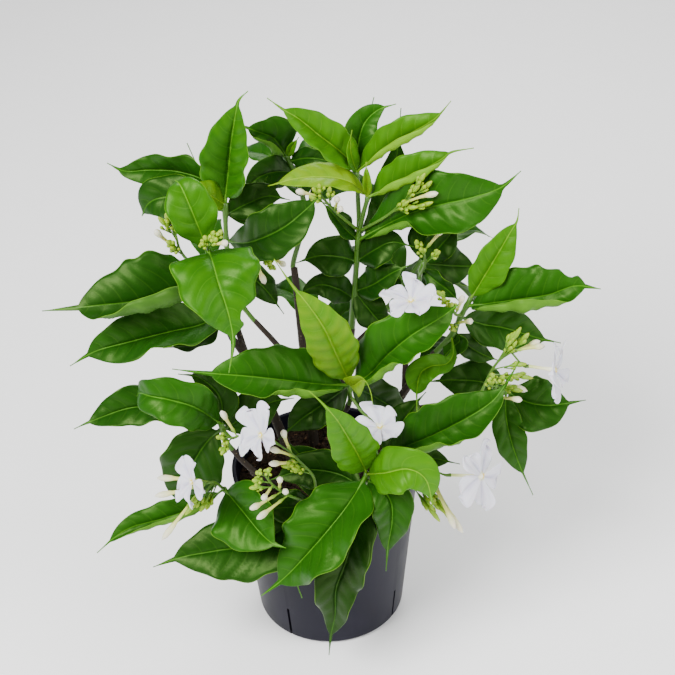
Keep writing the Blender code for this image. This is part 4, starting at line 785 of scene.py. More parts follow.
def between(values, share):
    """The value at a share of the way through values that are evenly spaced."""
    place = share * (len(values) - 1)
    i = min(int(place), len(values) - 2)
    return values[i] + (values[i + 1] - values[i]) * (place - i)


def profile_value(profile, share):
    """The value at a share of a profile of (share, value) pairs, eased between them."""
    for (near, low), (far, high) in zip(profile, profile[1:]):
        if share <= far:
            part = (share - near) / (far - near)
            part = part * part * (3.0 - 2.0 * part)
            return low + (high - low) * part
    return profile[-1][1]


def vectors(path):
    return [Vector(p) for p in path]


def places(path):
    return [seen(*p) for p in path]


# Stems: where they run

def stem_stations(points, start_radius, end_radius, step=STEM_STEP):
    """Places and radii along a stem."""
    track = smooth_track(points)
    steps = max(round(track_length(track) / step), 2)
    samples = [on_track(track, i / steps)[0] for i in range(steps + 1)]
    return samples, [start_radius + (end_radius - start_radius) * i / steps for i in range(steps + 1)]


def stem_axis(samples, radii):
    """Close steps along a stem: place, direction and radius."""
    axis = []
    for near, far, near_radius, far_radius in zip(samples, samples[1:], radii, radii[1:]):
        heading = (far - near).normalized()
        for i in range(AXIS_STEPS + 1):
            share = i / AXIS_STEPS
            axis.append((near.lerp(far, share), heading, near_radius + (far_radius - near_radius) * share))
    return axis


def nearest_step(axis, place):
    """The step of an axis that is nearest to a place."""
    return min(axis, key=lambda step: (step[0] - place).length)


def branch_end(shoot):
    """Where a leafy stem's woody branch ends and the way its last stretch points."""
    branch = WOODY_STEMS[shoot.woody_stem][shoot.branch]
    samples, _ = stem_stations(vectors(branch.path), branch.start_radius, branch.end_radius)
    return samples[-1], (samples[-1] - samples[-3]).normalized()


def shoot_stations(name):
    """Places and radii of the stems of a leafy stem: the first grows on from its woody branch."""
    if name in SHOOTS:
        shoot = SHOOTS[name]
        stems = [(places(stem.path), stem.start_radius, stem.end_radius) for stem in shoot.stems]
    else:
        shoot = BACK_SHOOTS[name]
        stems = [([Vector(shoot.top)], BACK_STEM_RADIUS, BACK_STEM_TIP)]
    end, heading = branch_end(shoot)
    first, start_radius, end_radius = stems[0]
    joined = [end - heading * JOIN_DEPTH, end + heading * STRAIGHT_START, *first]
    return [stem_stations(joined, start_radius, end_radius)] + [stem_stations(*stem) for stem in stems[1:]]


def shoot_axis(name):
    return [step for samples, radii in shoot_stations(name) for step in stem_axis(samples, radii)]


def pair_place(back, share):
    """Where a back stem carries a pair of leaves, at a share of its count of even stretches."""
    end, heading = branch_end(back)
    samples, _ = stem_stations([end + heading * STRAIGHT_START, Vector(back.top)], 1.0, 1.0, PAIR_SPACING)
    stops = [end, *samples]
    stretch = share * (len(stops) - 1)
    first = min(int(stretch), len(stops) - 2)
    return stops[first].lerp(stops[first + 1], stretch - first)


def back_leaves(back):
    """Leaves of a back stem: crossed pairs, the lower ones longer and hanging more."""
    up = Vector((0.0, 0.0, 1.0))
    leaves = []
    for pair in range(back.pairs):
        below_top = back.pairs - 1 - pair
        base = pair_place(back, 1.0 - PAIR_STEP * below_top)
        hang = TOP_HANG + HANG_STEP * below_top
        length = back.length * (1.0 - PAIR_SHRINK * pair)
        for side in (0.0, 180.0):
            turn = back.first_turn + 90.0 * pair + side
            middle = (back.reach[0] + back.reach[1]) / 2
            off = (turn - middle + 180.0) % 360.0 - 180.0
            if abs(off) > (back.reach[1] - back.reach[0]) / 2:
                continue
            heading = Vector((math.cos(math.radians(turn)), math.sin(math.radians(turn)), 0.0))
            arch = [heading * out + up * (rise - hang * droop) for out, rise, droop in BACK_LEAF_ARCH]
            path = [base + step * length for step in arch]
            tone = BACK_LEAF_TONE - BACK_TONE_STEP * below_top
            leaves.append(Leaf(path, length * BACK_LEAF_HALF, fold=BACK_LEAF_FOLD,
                               phase=turn / BACK_LEAF_PHASE, world=True, tone=tone))
    return leaves


# Meshes

class Shape:
    """Faces of a piece with their finishes and painted values, before they become one mesh.

    paint is four values for each point, which the finishes read by name.
    """

    def __init__(self, finishes):
        self.finishes = finishes
        self.points = []
        self.faces = []
        self.slots = []
        self.paint = []

    def add(self, points, faces, slots, paint):
        base = len(self.points)
        self.points.extend(points)
        self.faces.extend(tuple(base + corner for corner in face) for face in faces)
        self.slots.extend(slots)
        self.paint.extend(paint)

    def made(self, name):
        """The piece as a smooth mesh object in metres, with its finishes."""
        mesh = bpy.data.meshes.new(name)
        mesh.from_pydata([tuple(c * MM for c in point) for point in self.points], [], self.faces)
        for finish in self.finishes:
            mesh.materials.append(finish)
        mesh.polygons.foreach_set("material_index", self.slots)
        mesh.shade_smooth()
        painted = np.array(self.paint, dtype=np.float32)
        first = mesh.attributes.new("place_on_piece", "FLOAT_VECTOR", "POINT")
        first.data.foreach_set("vector", np.ascontiguousarray(painted[:, :3]).ravel())
        second = mesh.attributes.new("age", "FLOAT", "POINT")
        second.data.foreach_set("value", np.ascontiguousarray(painted[:, 3]))
        mesh.update()
        piece = bpy.data.objects.new(name, mesh)
        bpy.context.scene.collection.objects.link(piece)
        return piece


def placed(piece, slot, *nodes):
    """A piece rides on the plant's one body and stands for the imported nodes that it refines."""
    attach(piece, "root")
    for name in nodes:
        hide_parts(name)
    return piece


def round_paint(share, turn):
    """Painted values of a plain round stem."""
    return turn, 0.0, share, 0.0


def add_tube(shape, points, radii, sides, slot, paint, across=None):
    """A closed round tube with a ring at each point and rounded ends.

    radii holds a number for each ring, and across may hold a share of it for each side.
    paint gives the painted values from the shares of the length and of the turn round it.
    """
    tangents = [(b - a).normalized() for a, b in zip(points, points[1:])]
    tangents = [tangents[0]] + [(a + b).normalized() for a, b in zip(tangents, tangents[1:])] + [tangents[-1]]
    guide = Vector((0.0, 0.0, 1.0)) if abs(tangents[0].z) < 0.9 else Vector((1.0, 0.0, 0.0))
    normals = carried_normals(tangents, 0, guide)
    ring_points = []
    ring_paint = []
    last = len(points) - 1
    for i, (middle, tangent, normal) in enumerate(zip(points, tangents, normals)):
        side = tangent.cross(normal)
        for k in range(sides):
            turn = 2 * math.pi * k / sides
            radius = radii[i] * (across(i / last, turn) if across else 1.0)
            ring_points.append(middle + (normal * math.cos(turn) + side * math.sin(turn)) * radius)
            ring_paint.append(paint(i / last, k / sides))
    faces = []
    for i in range(last):
        for k in range(sides):
            after = (k + 1) % sides
            faces.append((i * sides + k, i * sides + after, (i + 1) * sides + after, (i + 1) * sides + k))
    first_tip = len(ring_points)
    ring_points.append(points[0] - tangents[0] * radii[0] * END_ROUNDING)
    ring_points.append(points[-1] + tangents[-1] * radii[-1] * END_ROUNDING)
    ring_paint += [paint(0.0, 0.0), paint(1.0, 0.0)]
    for k in range(sides):
        after = (k + 1) % sides
        faces.append((first_tip, after, k))
        faces.append((first_tip + 1, last * sides + k, last * sides + after))
    shape.add(ring_points, faces, [slot] * len(faces), ring_paint)


def add_blade(shape, grid, thickness, face_slots, paint):
    """A closed thin blade round a grid of points: an upper and an under face and an edge strip.

    grid is rows by columns by 3. thickness is a number for each point. paint is rows by columns
    by 4. face_slots are the finishes of the upper face and the under face.
    """
    rows, columns, _ = grid.shape
    along = np.gradient(grid, axis=0)
    aside = np.gradient(grid, axis=1)
    normals = np.cross(aside, along)
    normals /= np.maximum(np.linalg.norm(normals, axis=2, keepdims=True), 1e-9)
    offset = normals * (thickness / 2)[..., None]
    top = (grid + offset).reshape(-1, 3)
    under = (grid - offset).reshape(-1, 3)
    count = rows * columns
    faces = []
    slots = []
    for i in range(rows - 1):
        for j in range(columns - 1):
            a = i * columns + j
            b = a + columns
            faces.append((a, a + 1, b + 1, b))
            faces.append((count + a, count + b, count + b + 1, count + a + 1))
            slots += face_slots
    rim = list(range(columns))
    rim += [i * columns + columns - 1 for i in range(1, rows)]
    rim += [(rows - 1) * columns + j for j in range(columns - 2, -1, -1)]
    rim += [i * columns for i in range(rows - 2, 0, -1)]
    for a, b in zip(rim, rim[1:] + rim[:1]):
        faces.append((b, a, count + a, count + b))
        slots.append(face_slots[0])
    flat = paint.reshape(-1, 4)
    shape.add(np.concatenate((top, under)).tolist(), faces, slots, np.concatenate((flat, flat)).tolist())


# Leaves

def leaf_outline(leaf, share):
    """Half width of a leaf, as a share of its widest, and how much of it is open blade."""
    body_end = 1.0 - leaf.drip
    inside = min(max((share - PETIOLE_SHARE) / (body_end - PETIOLE_SHARE), 0.0), 1.0)
    body = max(math.sin(math.pi * inside ** (math.log(0.5) / math.log(leaf.belly))), 0.0) ** BODY_POWER
    neck = PETIOLE_HALF_WIDTH * min((1.0 - share) / leaf.drip, 1.0)
    return body * (1.0 - PETIOLE_HALF_WIDTH) + neck, body


def bitten(leaf, side, share):
    """How much of a blade's half is left where something has bitten its edge."""
    if not leaf.bite or leaf.bite[0] != side:
        return 1.0
    _, place, depth, reach = leaf.bite
    return 1.0 - depth * math.exp(-((share - place) / reach) ** 4)


def curled(leaf, side, share):
    """How far a blade's half turns over from its midrib to its edge, in degrees."""
    if leaf.curl and leaf.curl[0] == side:
        return between(leaf.curl[1:], share)
    return -ARCH


def midrib(leaf, grid, normals, size):
    """Places and radii of a leaf's raised midrib, which starts as its stalk."""
    steps = grid.shape[0] - 1
    middle_column = grid.shape[1] // 2
    rib = []
    radii = []
    for i in range(MIDRIB_STEPS + 1):
        share = MIDRIB_END * i / MIDRIB_STEPS
        row = share * steps
        k = min(int(row), steps - 1)
        middle = Vector(grid[k, middle_column]).lerp(Vector(grid[k + 1, middle_column]), row - k)
        _, body = leaf_outline(leaf, share)
        stalk = 1.0 - STALK_EXTRA + STALK_EXTRA * max(1.0 - share / STALK_SHARE, 0.0)
        thick = MIDRIB_RADIUS + MIDRIB_GROWTH * size
        radius = thick * (1.0 - share) ** MIDRIB_TAPER * stalk + MIDRIB_TIP_RADIUS
        rib.append(middle - normals[k] * (radius * MIDRIB_SINK * min(body * 2.0, 1.0)))
        radii.append(radius)
    return rib, radii


def add_leaf(shape, leaf, axis, seed):
    """A leaf with its waved blade, sunk veins, raised midrib and stalk."""
    points = [Vector(p) if leaf.world else seen(*p) for p in leaf.path]
    points[0] = nearest_step(axis, points[0])[0]
    track = smooth_track(points)
    length = track_length(track)
    steps, halves = next(counts for least, *counts in BLADE_GRID if length > least)
    shares = [i / steps for i in range(steps + 1)]
    stations = [on_track(track, share) for share in shares]
    tangents = [direction for _, direction in stations]
    start = round(FACING_SHARE * steps)
    outward = Vector((0, 0, 1)) if leaf.world else CAMERA_PLACE - stations[start][0]
    normals = carried_normals(tangents, start, outward)
    spacing = settings_of("leaves").vein_spacing / MM
    blade_thickness = settings_of("leaves").blade_thickness / MM
    across = [(j / halves) ** COLUMN_POWER for j in range(halves + 1)]
    grid = np.zeros((steps + 1, 2 * halves + 1, 3))
    paint = np.zeros((steps + 1, 2 * halves + 1, 4))
    thickness = np.zeros((steps + 1, 2 * halves + 1))
    size = min(leaf.half / USUAL_HALF_WIDTH, LARGEST_SIZE)
    for i, (share, (middle, tangent), normal) in enumerate(zip(shares, stations, normals)):
        width, body = leaf_outline(leaf, share)
        roll = math.radians(between(leaf.roll, share))
        fold = math.radians(between(leaf.fold, share)) * math.sqrt(body)
        left = normal.cross(tangent)
        for name, sign in (("left", 1), ("right", -1)):
            scallop = math.sin(2 * math.pi * length * share / SCALLOP_STEP + seed + sign)
            scalloped = 1.0 + SCALLOP * body * scallop
            half = max(leaf.half * width * scalloped * bitten(leaf, name, share), TIP_HALF_WIDTH)
            tilt = fold + roll * sign
            side = left * sign
            turn = leaf.phase + (0.0 if sign > 0 else OTHER_HALF_PHASE)
            ripple = leaf.wave * body * math.sin(2 * math.pi * leaf.waves * share + turn)
            beat = 2 * math.pi * share * length / RUFFLE_STEP + RUFFLE_SHIFT * turn + seed
            ruffles = math.sin(beat) + SLOW_RUFFLE * math.sin(beat * SLOW_RUFFLE_PACE)
            ruffle = RUFFLE * body * size * ruffles
            curl = math.radians(curled(leaf, name, share)) * min(body * 2.0, 1.0)
            place = middle.copy()
            before = 0.0
            for j, t in enumerate(across):
                bend = tilt + curl * ((before + t) - 1.0)
                face = normal * math.cos(bend) - side * math.sin(bend)
                place = place + (side * math.cos(bend) + normal * math.sin(bend)) * (half * (t - before))
                before = t
                forward = half * (VEIN_SLOPE * t + VEIN_BEND * t ** VEIN_BEND_POWER)
                vein = (share * length - forward) / spacing
                inward = math.sin(math.pi * min(t * QUILT_REACH, 1.0)) ** QUILT_POWER
                quilt = QUILT_HEIGHT * size * body * inward
                lift = quilt * (abs(math.sin(math.pi * vein)) ** PUFF_POWER - PUFF_LEVEL)
                lift -= GROOVE_DEPTH * size * body * math.exp(-(t * half / GROOVE_WIDTH) ** 2)
                lift += ripple * t ** 2 + ruffle * t ** 4
                column = halves - j * sign
                grid[i, column] = place + face * lift
                paint[i, column] = (t * sign, t * half, vein, leaf.tone)
                thickness[i, column] = blade_thickness * (THICK_AT_RIB - THINNED_AT_EDGE * t)
    add_blade(shape, grid, thickness, [0, 1], paint)
    rib, radii = midrib(leaf, grid, normals, size)
    rib[0] = points[0]
    add_tube(shape, rib, radii, MIDRIB_SIDES, 2, lambda share, turn: (0.0, 0.0, share, leaf.tone))


def add_shoot(shape, name):
    """A leafy stem: green stems that are a little swollen where leaves grow, and its leaves."""
    leaves = SHOOTS[name].leaves if name in SHOOTS else back_leaves(BACK_SHOOTS[name])
    axis = shoot_axis(name)
    bases = [nearest_step(axis, Vector(leaf.path[0]) if leaf.world else seen(*leaf.path[0]))[0]
             for leaf in leaves]
    for samples, radii in shoot_stations(name):
        swollen = []
        for place, radius in zip(samples, radii):
            near = min((place - base).length for base in bases)
            swollen.append(radius + NODE_SWELL * math.exp(-(near / NODE_REACH) ** 2))
        add_tube(shape, samples, swollen, STEM_SIDES, 3, round_paint)
    for i, leaf in enumerate(leaves):
        add_leaf(shape, leaf, axis, float(i))


# Flower clusters and blooms

def add_bud(shape, hub, tip, outline, kind, seed):
    """A bud on its thin stalk, with its calyx and the twisted furrows of its closed petals."""
    span = tip - hub
    bend = span.length * BUD_BEND * math.sin(seed * 2.1)
    aside = square_to(Vector((0.3, -0.5, 1.0)), span.normalized()) * bend
    points = []
    radii = []
    for i in range(BUD_STEPS + 1):
        share = i / BUD_STEPS
        points.append(hub.lerp(tip, share) + aside * math.sin(math.pi * share))
        radii.append(profile_value(outline, share))

    def furrowed(share, turn):
        depth = BUD_FURROW * min(max((share - FURROWS_FROM) / FURROWS_FULL, 0.0), 1.0)
        return 1.0 + depth * math.cos(FURROWS * turn + FURROWS * share)

    add_tube(shape, points, radii, BUD_SIDES, 0, lambda share, turn: (turn, kind, share, seed), furrowed)


def add_side_buds(shape, hub, tip, seed):
    """The smaller buds that crowd round a green bud, from the upper part of its stalk."""
    heading = (tip - hub).normalized()
    aside = square_to(Vector((math.sin(seed * 1.9), math.cos(seed * 1.9), 0.4)), heading)
    fork = hub.lerp(tip, SIDE_BUD_FORK)
    across = heading.cross(aside)
    for k in range(SIDE_BUDS):
        turn = 2 * math.pi * (k + 0.15 * math.sin(seed + k)) / SIDE_BUDS
        out = aside * math.cos(turn) + across * math.sin(turn)
        reach = (tip - fork).length * (SIDE_BUD_REACH - SIDE_BUD_REACH_STEP * k)
        side_tip = fork + heading * reach + out * SIDE_BUD_OFFSET
        girth = SIDE_BUD_GIRTH - SIDE_BUD_GIRTH_STEP * k
        slim = [(share, radius * girth) for share, radius in SMALL_BUD]
        add_bud(shape, fork, side_tip, slim, 0.0, seed + 0.37 * (k + 1))


def spray_start(spray):
    """Where a flower cluster's stalk begins on its leafy stem, and the way it goes."""
    place = places(spray.stalk)
    root = nearest_step(shoot_axis(spray.parent), place[0])[0]
    return root, (place[1] - root).normalized()


def stalk_paint(_, turn):
    """Painted values of a flower stalk, which has the green of a small bud's own stalk."""
    return turn, 0.0, 0.1, 0.0


def widening(start, end, steps):
    """Radii that stay the same at first and widen toward the end."""
    return [start + (end - start) * max(i / steps - WIDEN_FROM, 0.0) * WIDEN_RATE for i in range(steps + 1)]


def add_spray(shape, name):
    """A flower cluster: its stalk, its buds and the stalks of its open flowers."""
    spray = SPRAYS[name]
    start, heading = spray_start(spray)
    points = [start, start + heading * STRAIGHT_START, *places(spray.stalk)[1:]]
    samples, radii = stem_stations(points, STALK_RADIUS * STALK_FOOT, STALK_RADIUS * STALK_TOP)
    axis = stem_axis(samples, radii)
    add_tube(shape, samples, radii, STALK_SIDES, 0, stalk_paint)
    buds = [(tip, SMALL_BUD, 0.0) for tip in places(spray.small)]
    buds += [(tip, LONG_BUD, 1.0) for tip in places(spray.long)]
    heading = axis[-1][1]
    buds.sort(key=lambda entry: entry[0].dot(heading))
    for i, (tip, outline, kind) in enumerate(buds):
        share = BUDS_FROM + (BUDS_TO - BUDS_FROM) * (i + 1) / len(buds)
        hub = axis[round(share * (len(axis) - 1))][0]
        add_bud(shape, hub, tip, outline, kind, float(i))
        if kind == 0.0:
            add_side_buds(shape, hub, tip, float(i))
    for bloom in BLOOMS.values():
        if bloom.parent == name:
            tube_end = seen(*bloom.tube_end)
            heading = (seen(*bloom.eye) - tube_end).normalized()
            hub = nearest_step(axis, tube_end - heading * BLOOM_STALK_START)[0]
            bend = tube_end - heading * BLOOM_STALK_BEND
            track = smooth_track([hub, bend, tube_end + heading * BLOOM_STALK_END])
            steps = BLOOM_STALK_STEPS
            samples = [on_track(track, i / steps)[0] for i in range(steps + 1)]
            radii = widening(STALK_RADIUS * BLOOM_STALK, CALYX_RADIUS, steps)
            add_tube(shape, samples, radii, STALK_SIDES, 0, stalk_paint)


def petal_width(share):
    """Half width of a petal as a share of its widest: slim at the eye, broad and blunt at its end."""
    if share > PETAL_ROUND_FROM:
        part = (share - PETAL_ROUND_FROM) / (1.0 - PETAL_ROUND_FROM)
        return max(1.0 - part ** PETAL_END_POWER, 0.0) ** 0.5
    return profile_value(PETAL_OUTLINE, share)


def add_bloom(shape, name):
    """An open flower: a slim tube, five twisted petals and a small eye."""
    bloom = BLOOMS[name]
    eye = seen(*bloom.eye)
    tube_end = seen(*bloom.tube_end)
    facing = Vector(bloom.facing).normalized()
    steps = BLOOM_TUBE_STEPS
    samples = [tube_end.lerp(eye, i / steps) for i in range(steps + 1)]
    radii = widening(TUBE_RADIUS, THROAT_RADIUS, steps)
    add_tube(shape, samples, radii, BLOOM_TUBE_SIDES, 1, round_paint)
    across = square_to(CAMERA_RIGHT if abs(facing.dot(CAMERA_RIGHT)) < SIDEWAYS else CAMERA_UP, facing)
    upward = facing.cross(across)
    for petal in range(PETALS):
        turn = math.radians(bloom.spin + 360.0 * petal / PETALS)
        out = across * math.cos(turn) + upward * math.sin(turn)
        add_petal(shape, bloom, eye - facing * PETAL_SINK, facing, out, petal)
    ring = []
    for i in range(EYE_RING + 1):
        turn = 2 * math.pi * i / EYE_RING
        lobe = EYE_RADIUS + EYE_LOBE * math.cos(PETALS * turn)
        out = across * math.cos(turn) + upward * math.sin(turn)
        ring.append(eye + out * lobe + facing * EYE_THICKNESS)
    thick = [EYE_THICKNESS] * len(ring)
    add_tube(shape, ring, thick, EYE_SIDES, 2, round_paint)


def add_petal(shape, bloom, root, facing, out, petal):
    """A petal that grows out from a root: skewed, hollowed, creased and ruffled at its end."""
    aside = facing.cross(out)
    # sines of the petal's number, at given paces, make each petal a little different
    cup = math.radians(bloom.cup + PETAL_TILT * math.sin(2.6 * petal + bloom.spin))
    twist = PETAL_LEAN + PETAL_TWIST * math.sin(1.7 * petal + bloom.spin)
    rows, halves = PETAL_GRID
    grid = np.zeros((rows + 1, 2 * halves + 1, 3))
    paint = np.zeros((rows + 1, 2 * halves + 1, 4))
    recurve = PETAL_RECURVE * (1.0 + math.sin(2.4 * petal + bloom.spin))
    for i in range(rows + 1):
        share = math.sin(0.5 * math.pi * i / rows) ** PETAL_ROW_POWER
        reach = bloom.radius * bloom.lengths[petal] * share
        rise = reach * math.sin(cup) * (1.0 - PETAL_FLATTENING * share)
        middle = root + out * (reach * math.cos(cup)) + aside * (PETAL_SKEW * reach * share) + facing * rise
        half = bloom.radius * PETAL_HALF_WIDTH * max(petal_width(share), PETAL_LEAST_WIDTH)
        tip = max(share - PETAL_TIP_FROM, 0.0) / (1.0 - PETAL_TIP_FROM)
        for j in range(2 * halves + 1):
            t = (j - halves) / halves
            slant = out * (PETAL_SLANT * reach * share * t)
            side = PETAL_LEFT if t > 0 else PETAL_RIGHT
            hollow = PETAL_HOLLOW * share * (t * t - 0.35) - recurve * tip ** 2
            ruffle = PETAL_RUFFLE * share ** 2 * abs(t) ** 1.5 * math.sin(5.0 * share + 4.0 * t + 2.1 * petal)
            ruffle += 0.5 * PETAL_RUFFLE * tip * math.sin(7.0 * t + 1.7 * petal)
            crease = -PETAL_CREASE * math.exp(-(t / CREASE_WIDTH) ** 2) * math.sin(math.pi * share)
            lift = half * twist * t + hollow + ruffle + crease
            grid[i, j] = middle + slant + aside * (half * side * t) + facing * lift
            paint[i, j] = (t, reach, share, float(petal))
    add_blade(shape, grid, np.full(grid.shape[:2], PETAL_THICKNESS), [0, 0], paint)


# Pot, soil and woody stems

def pot_radius(height):
    return POT_BASE_RADIUS + (POT_TOP_RADIUS - POT_BASE_RADIUS) * height / POT_HEIGHT


def rounded(profile, radii, steps=5):
    """A profile of (radius, height) corners with each corner turned into an arc."""
    corners = [Vector(corner) for corner in profile]
    rounded_profile = [corners[0]]
    for before, corner, after, radius in zip(corners, corners[1:], corners[2:], radii):
        if radius == 0.0:
            rounded_profile.append(corner)
            continue
        back = (before - corner).normalized()
        onward = (after - corner).normalized()
        for i in range(steps + 1):
            t = i / steps
            arc = back * radius * (1 - t) ** 2 + onward * radius * t ** 2
            rounded_profile.append(corner + arc)
    rounded_profile.append(corners[-1])
    return [(corner.x, corner.y) for corner in rounded_profile]


def turned(name, profile, steps):
    """A turned body: its profile of (radius, height) under a Screw modifier."""
    mesh = bpy.data.meshes.new(name)
    edges = [(i, i + 1) for i in range(len(profile) - 1)]
    mesh.from_pydata([(r * MM, 0.0, h * MM) for r, h in profile], edges, [])
    item = bpy.data.objects.new(name, mesh)
    bpy.context.scene.collection.objects.link(item)
    screw = item.modifiers.new("turn", "SCREW")
    screw.axis = "Z"
    screw.steps = steps
    screw.render_steps = steps
    screw.use_merge_vertices = True
    screw.merge_threshold = 1e-6
    return item


def settled(item):
    """Applies an object's modifiers, welds its seam and turns its faces outward."""
    depsgraph = bpy.context.evaluated_depsgraph_get()
    mesh = bpy.data.meshes.new_from_object(item.evaluated_get(depsgraph), depsgraph=depsgraph)
    name = item.name
    bpy.data.objects.remove(item)
    edit = bmesh.new()
    edit.from_mesh(mesh)
    bmesh.ops.remove_doubles(edit, verts=edit.verts, dist=1e-6)
    bmesh.ops.recalc_face_normals(edit, faces=edit.faces)
    edit.to_mesh(mesh)
    edit.free()
    mesh.name = name
    piece = bpy.data.objects.new(name, mesh)
    bpy.context.scene.collection.objects.link(piece)
    return piece


def make_pot(finish):
    """The tapered pot with its rounded lip, its rim band, a bevelled foot and four drain slits."""
    band = POT_HEIGHT - RIM_DEPTH
    lip = pot_radius(POT_HEIGHT) + RIM_WIDTH
    profile = (
        (0.0, POT_FLOOR),
        (pot_radius(POT_FLOOR) - POT_WALL, POT_FLOOR),
        (pot_radius(POT_HEIGHT) - POT_WALL, POT_HEIGHT),
        (lip, POT_HEIGHT),
        (pot_radius(band) + RIM_WIDTH, band),
        (pot_radius(band), band),
        (pot_radius(POT_FOOT_BEVEL), POT_FOOT_BEVEL),
        (POT_BASE_RADIUS - POT_FOOT_BEVEL, 0.0),
        (0.0, 0.0),
    )
    pot = settled(turned("nursery_pot", rounded(profile, POT_ROUNDING), POT_SPOKES))
    width = settings_of("pot").slit_width / MM
    for i in range(SLIT_COUNT):
        turn = math.radians(FIRST_SLIT_ANGLE + 360.0 * i / SLIT_COUNT)
        bpy.ops.mesh.primitive_cube_add(size=1.0)
        cutter = bpy.context.object
        cutter.scale = (SLIT_DEPTH * MM, width * MM, 2 * SLIT_HEIGHT * MM)
        cutter.location = (math.cos(turn) * SLIT_CENTRE * MM, math.sin(turn) * SLIT_CENTRE * MM, 0.0)
        cutter.rotation_euler = (0.0, 0.0, turn)
        cut = pot.modifiers.new("slit", "BOOLEAN")
        cut.operation = "DIFFERENCE"
        cut.object = cutter
        cut.solver = "EXACT"
        pot = settled(pot)
        bpy.data.objects.remove(cutter)
    pot.data.shade_smooth()
    pot.data.set_sharp_from_angle(angle=math.radians(SHARP_EDGE))
    pot.data.materials.clear()
    pot.data.materials.append(finish)
    return pot


def add_soil(shape):
    """The potting mix: a crumbly crowned top, with crumbs and bark bits on it, in the pot's body."""
    edge = pot_radius(SOIL_TOP) - POT_WALL - SOIL_MARGIN
    floor = POT_FLOOR + SOIL_MARGIN
    foot = pot_radius(floor) - POT_WALL - SOIL_MARGIN
    rings = SOIL_RINGS
    spokes = SOIL_SPOKES
    points = [Vector((0.0, 0.0, SOIL_TOP + SOIL_CROWN))]
    for i in range(1, rings + 1):
        radius = edge * i / rings
        for k in range(spokes):
            turn = 2 * math.pi * k / spokes
            place = Vector((radius * math.cos(turn), radius * math.sin(turn), SOIL_TOP))
            lumps = sum(noise.noise(place * fine) * high for fine, high in LUMPS)
            fall = 1.0 - (i / rings) ** 2
            level = min((1.0 - i / rings) * LEVEL_EDGE, 1.0)
            place.z += SOIL_CROWN * fall + min(lumps, LUMP_HEIGHT) * level
            points.append(place)
    faces = [(0, 1 + k, 1 + (k + 1) % spokes) for k in range(spokes)]
    for i in range(rings - 1):
        for k in range(spokes):
            a = 1 + i * spokes + k
            b = 1 + i * spokes + (k + 1) % spokes
            faces.append((a, a + spokes, b + spokes, b))
    base = len(points)
    for k in range(spokes):
        turn = 2 * math.pi * k / spokes
        points.append(Vector((foot * math.cos(turn), foot * math.sin(turn), floor)))
    top = 1 + (rings - 1) * spokes
    for k in range(spokes):
        faces.append((top + k, base + k, base + (k + 1) % spokes, top + (k + 1) % spokes))
    points.append(Vector((0.0, 0.0, floor)))
    for k in range(spokes):
        faces.append((base + spokes, base + (k + 1) % spokes, base + k))
    shape.add(points, faces, [0] * len(faces), [(0.0, 0.0, 0.0, 0.0)] * len(points))
    add_crumbs(shape, edge)


def add_crumbs(shape, edge):
    """Loose crumbs and bark bits, strewn over the potting mix."""
    dice = np.random.default_rng(CRUMB_SEED)
    for _ in range(settings_of("soil").crumbs):
        radius = (edge - CRUMB_KEEP_OFF) * math.sqrt(dice.random())
        turn = 2 * math.pi * dice.random()
        place = Vector((radius * math.cos(turn), radius * math.sin(turn), SOIL_TOP))
        place.z += SOIL_CROWN * (1.0 - (radius / edge) ** 2) + 0.3
        long = CRUMB_LEAST + CRUMB_SPREAD * dice.random() ** 2
        heading = Matrix.Rotation(2 * math.pi * dice.random(), 3, "Z")
        axes = heading @ Matrix.Rotation(CRUMB_TILT * dice.random(), 3, "X")
        chip = 1.0 if dice.random() > BARK_BITS_ABOVE else 0.0
        flat = (long, long * (0.45 + 0.4 * dice.random()), long * (0.3 + 0.3 * dice.random()))
        corners = []
        for corner in CRUMB_CORNERS:
            jitter = 0.8 + 0.4 * dice.random()
            stretched = Vector([side * size for side, size in zip(corner, flat)])
            corners.append(place + axes @ stretched * jitter)
        sides = [(k, (k + 1) % 6, 6) for k in range(6)] + [((k + 1) % 6, k, 7) for k in range(6)]
        shape.add(corners, sides, [1 if chip else 0] * 12, [(0.0, 0.0, chip, dice.random())] * 8)


def add_woody_stem(shape, name):
    """A trunk and its branches: tapered tubes with the shallow bumps of bark."""
    for k, stem in enumerate(WOODY_STEMS[name].values()):
        track = smooth_track(vectors(stem.path))
        steps = 2 * (max(round(track_length(track) / STEM_STEP), 2) + 1)
        samples = [on_track(track, i / steps)[0] for i in range(steps + 1)]
        taper = stem.end_radius - stem.start_radius
        radii = [stem.start_radius + taper * i / steps for i in range(steps + 1)]

        def barked(share, turn):
            along = share * BARK_LENGTH + BARK_SHIFT * k
            spot = Vector((math.cos(turn) * BARK_TURN, math.sin(turn) * BARK_TURN, along))
            bump = BARK_BUMP * noise.noise(spot)
            return 1.0 + bump + BARK_CRACK * noise.noise(spot * BARK_CRACK_PACE)

        add_tube(shape, samples, radii, WOODY_SIDES, 0, round_paint, barked)


# Finishes

def linear(hex_colour):
    """An sRGB hex colour such as 2F6B1C as linear red, green, blue and alpha."""
    channels = [int(hex_colour[i:i + 2], 16) / 255.0 for i in (0, 2, 4)]
    return (*[c / 12.92 if c <= 0.04045 else ((c + 0.055) / 1.055) ** 2.4 for c in channels], 1.0)


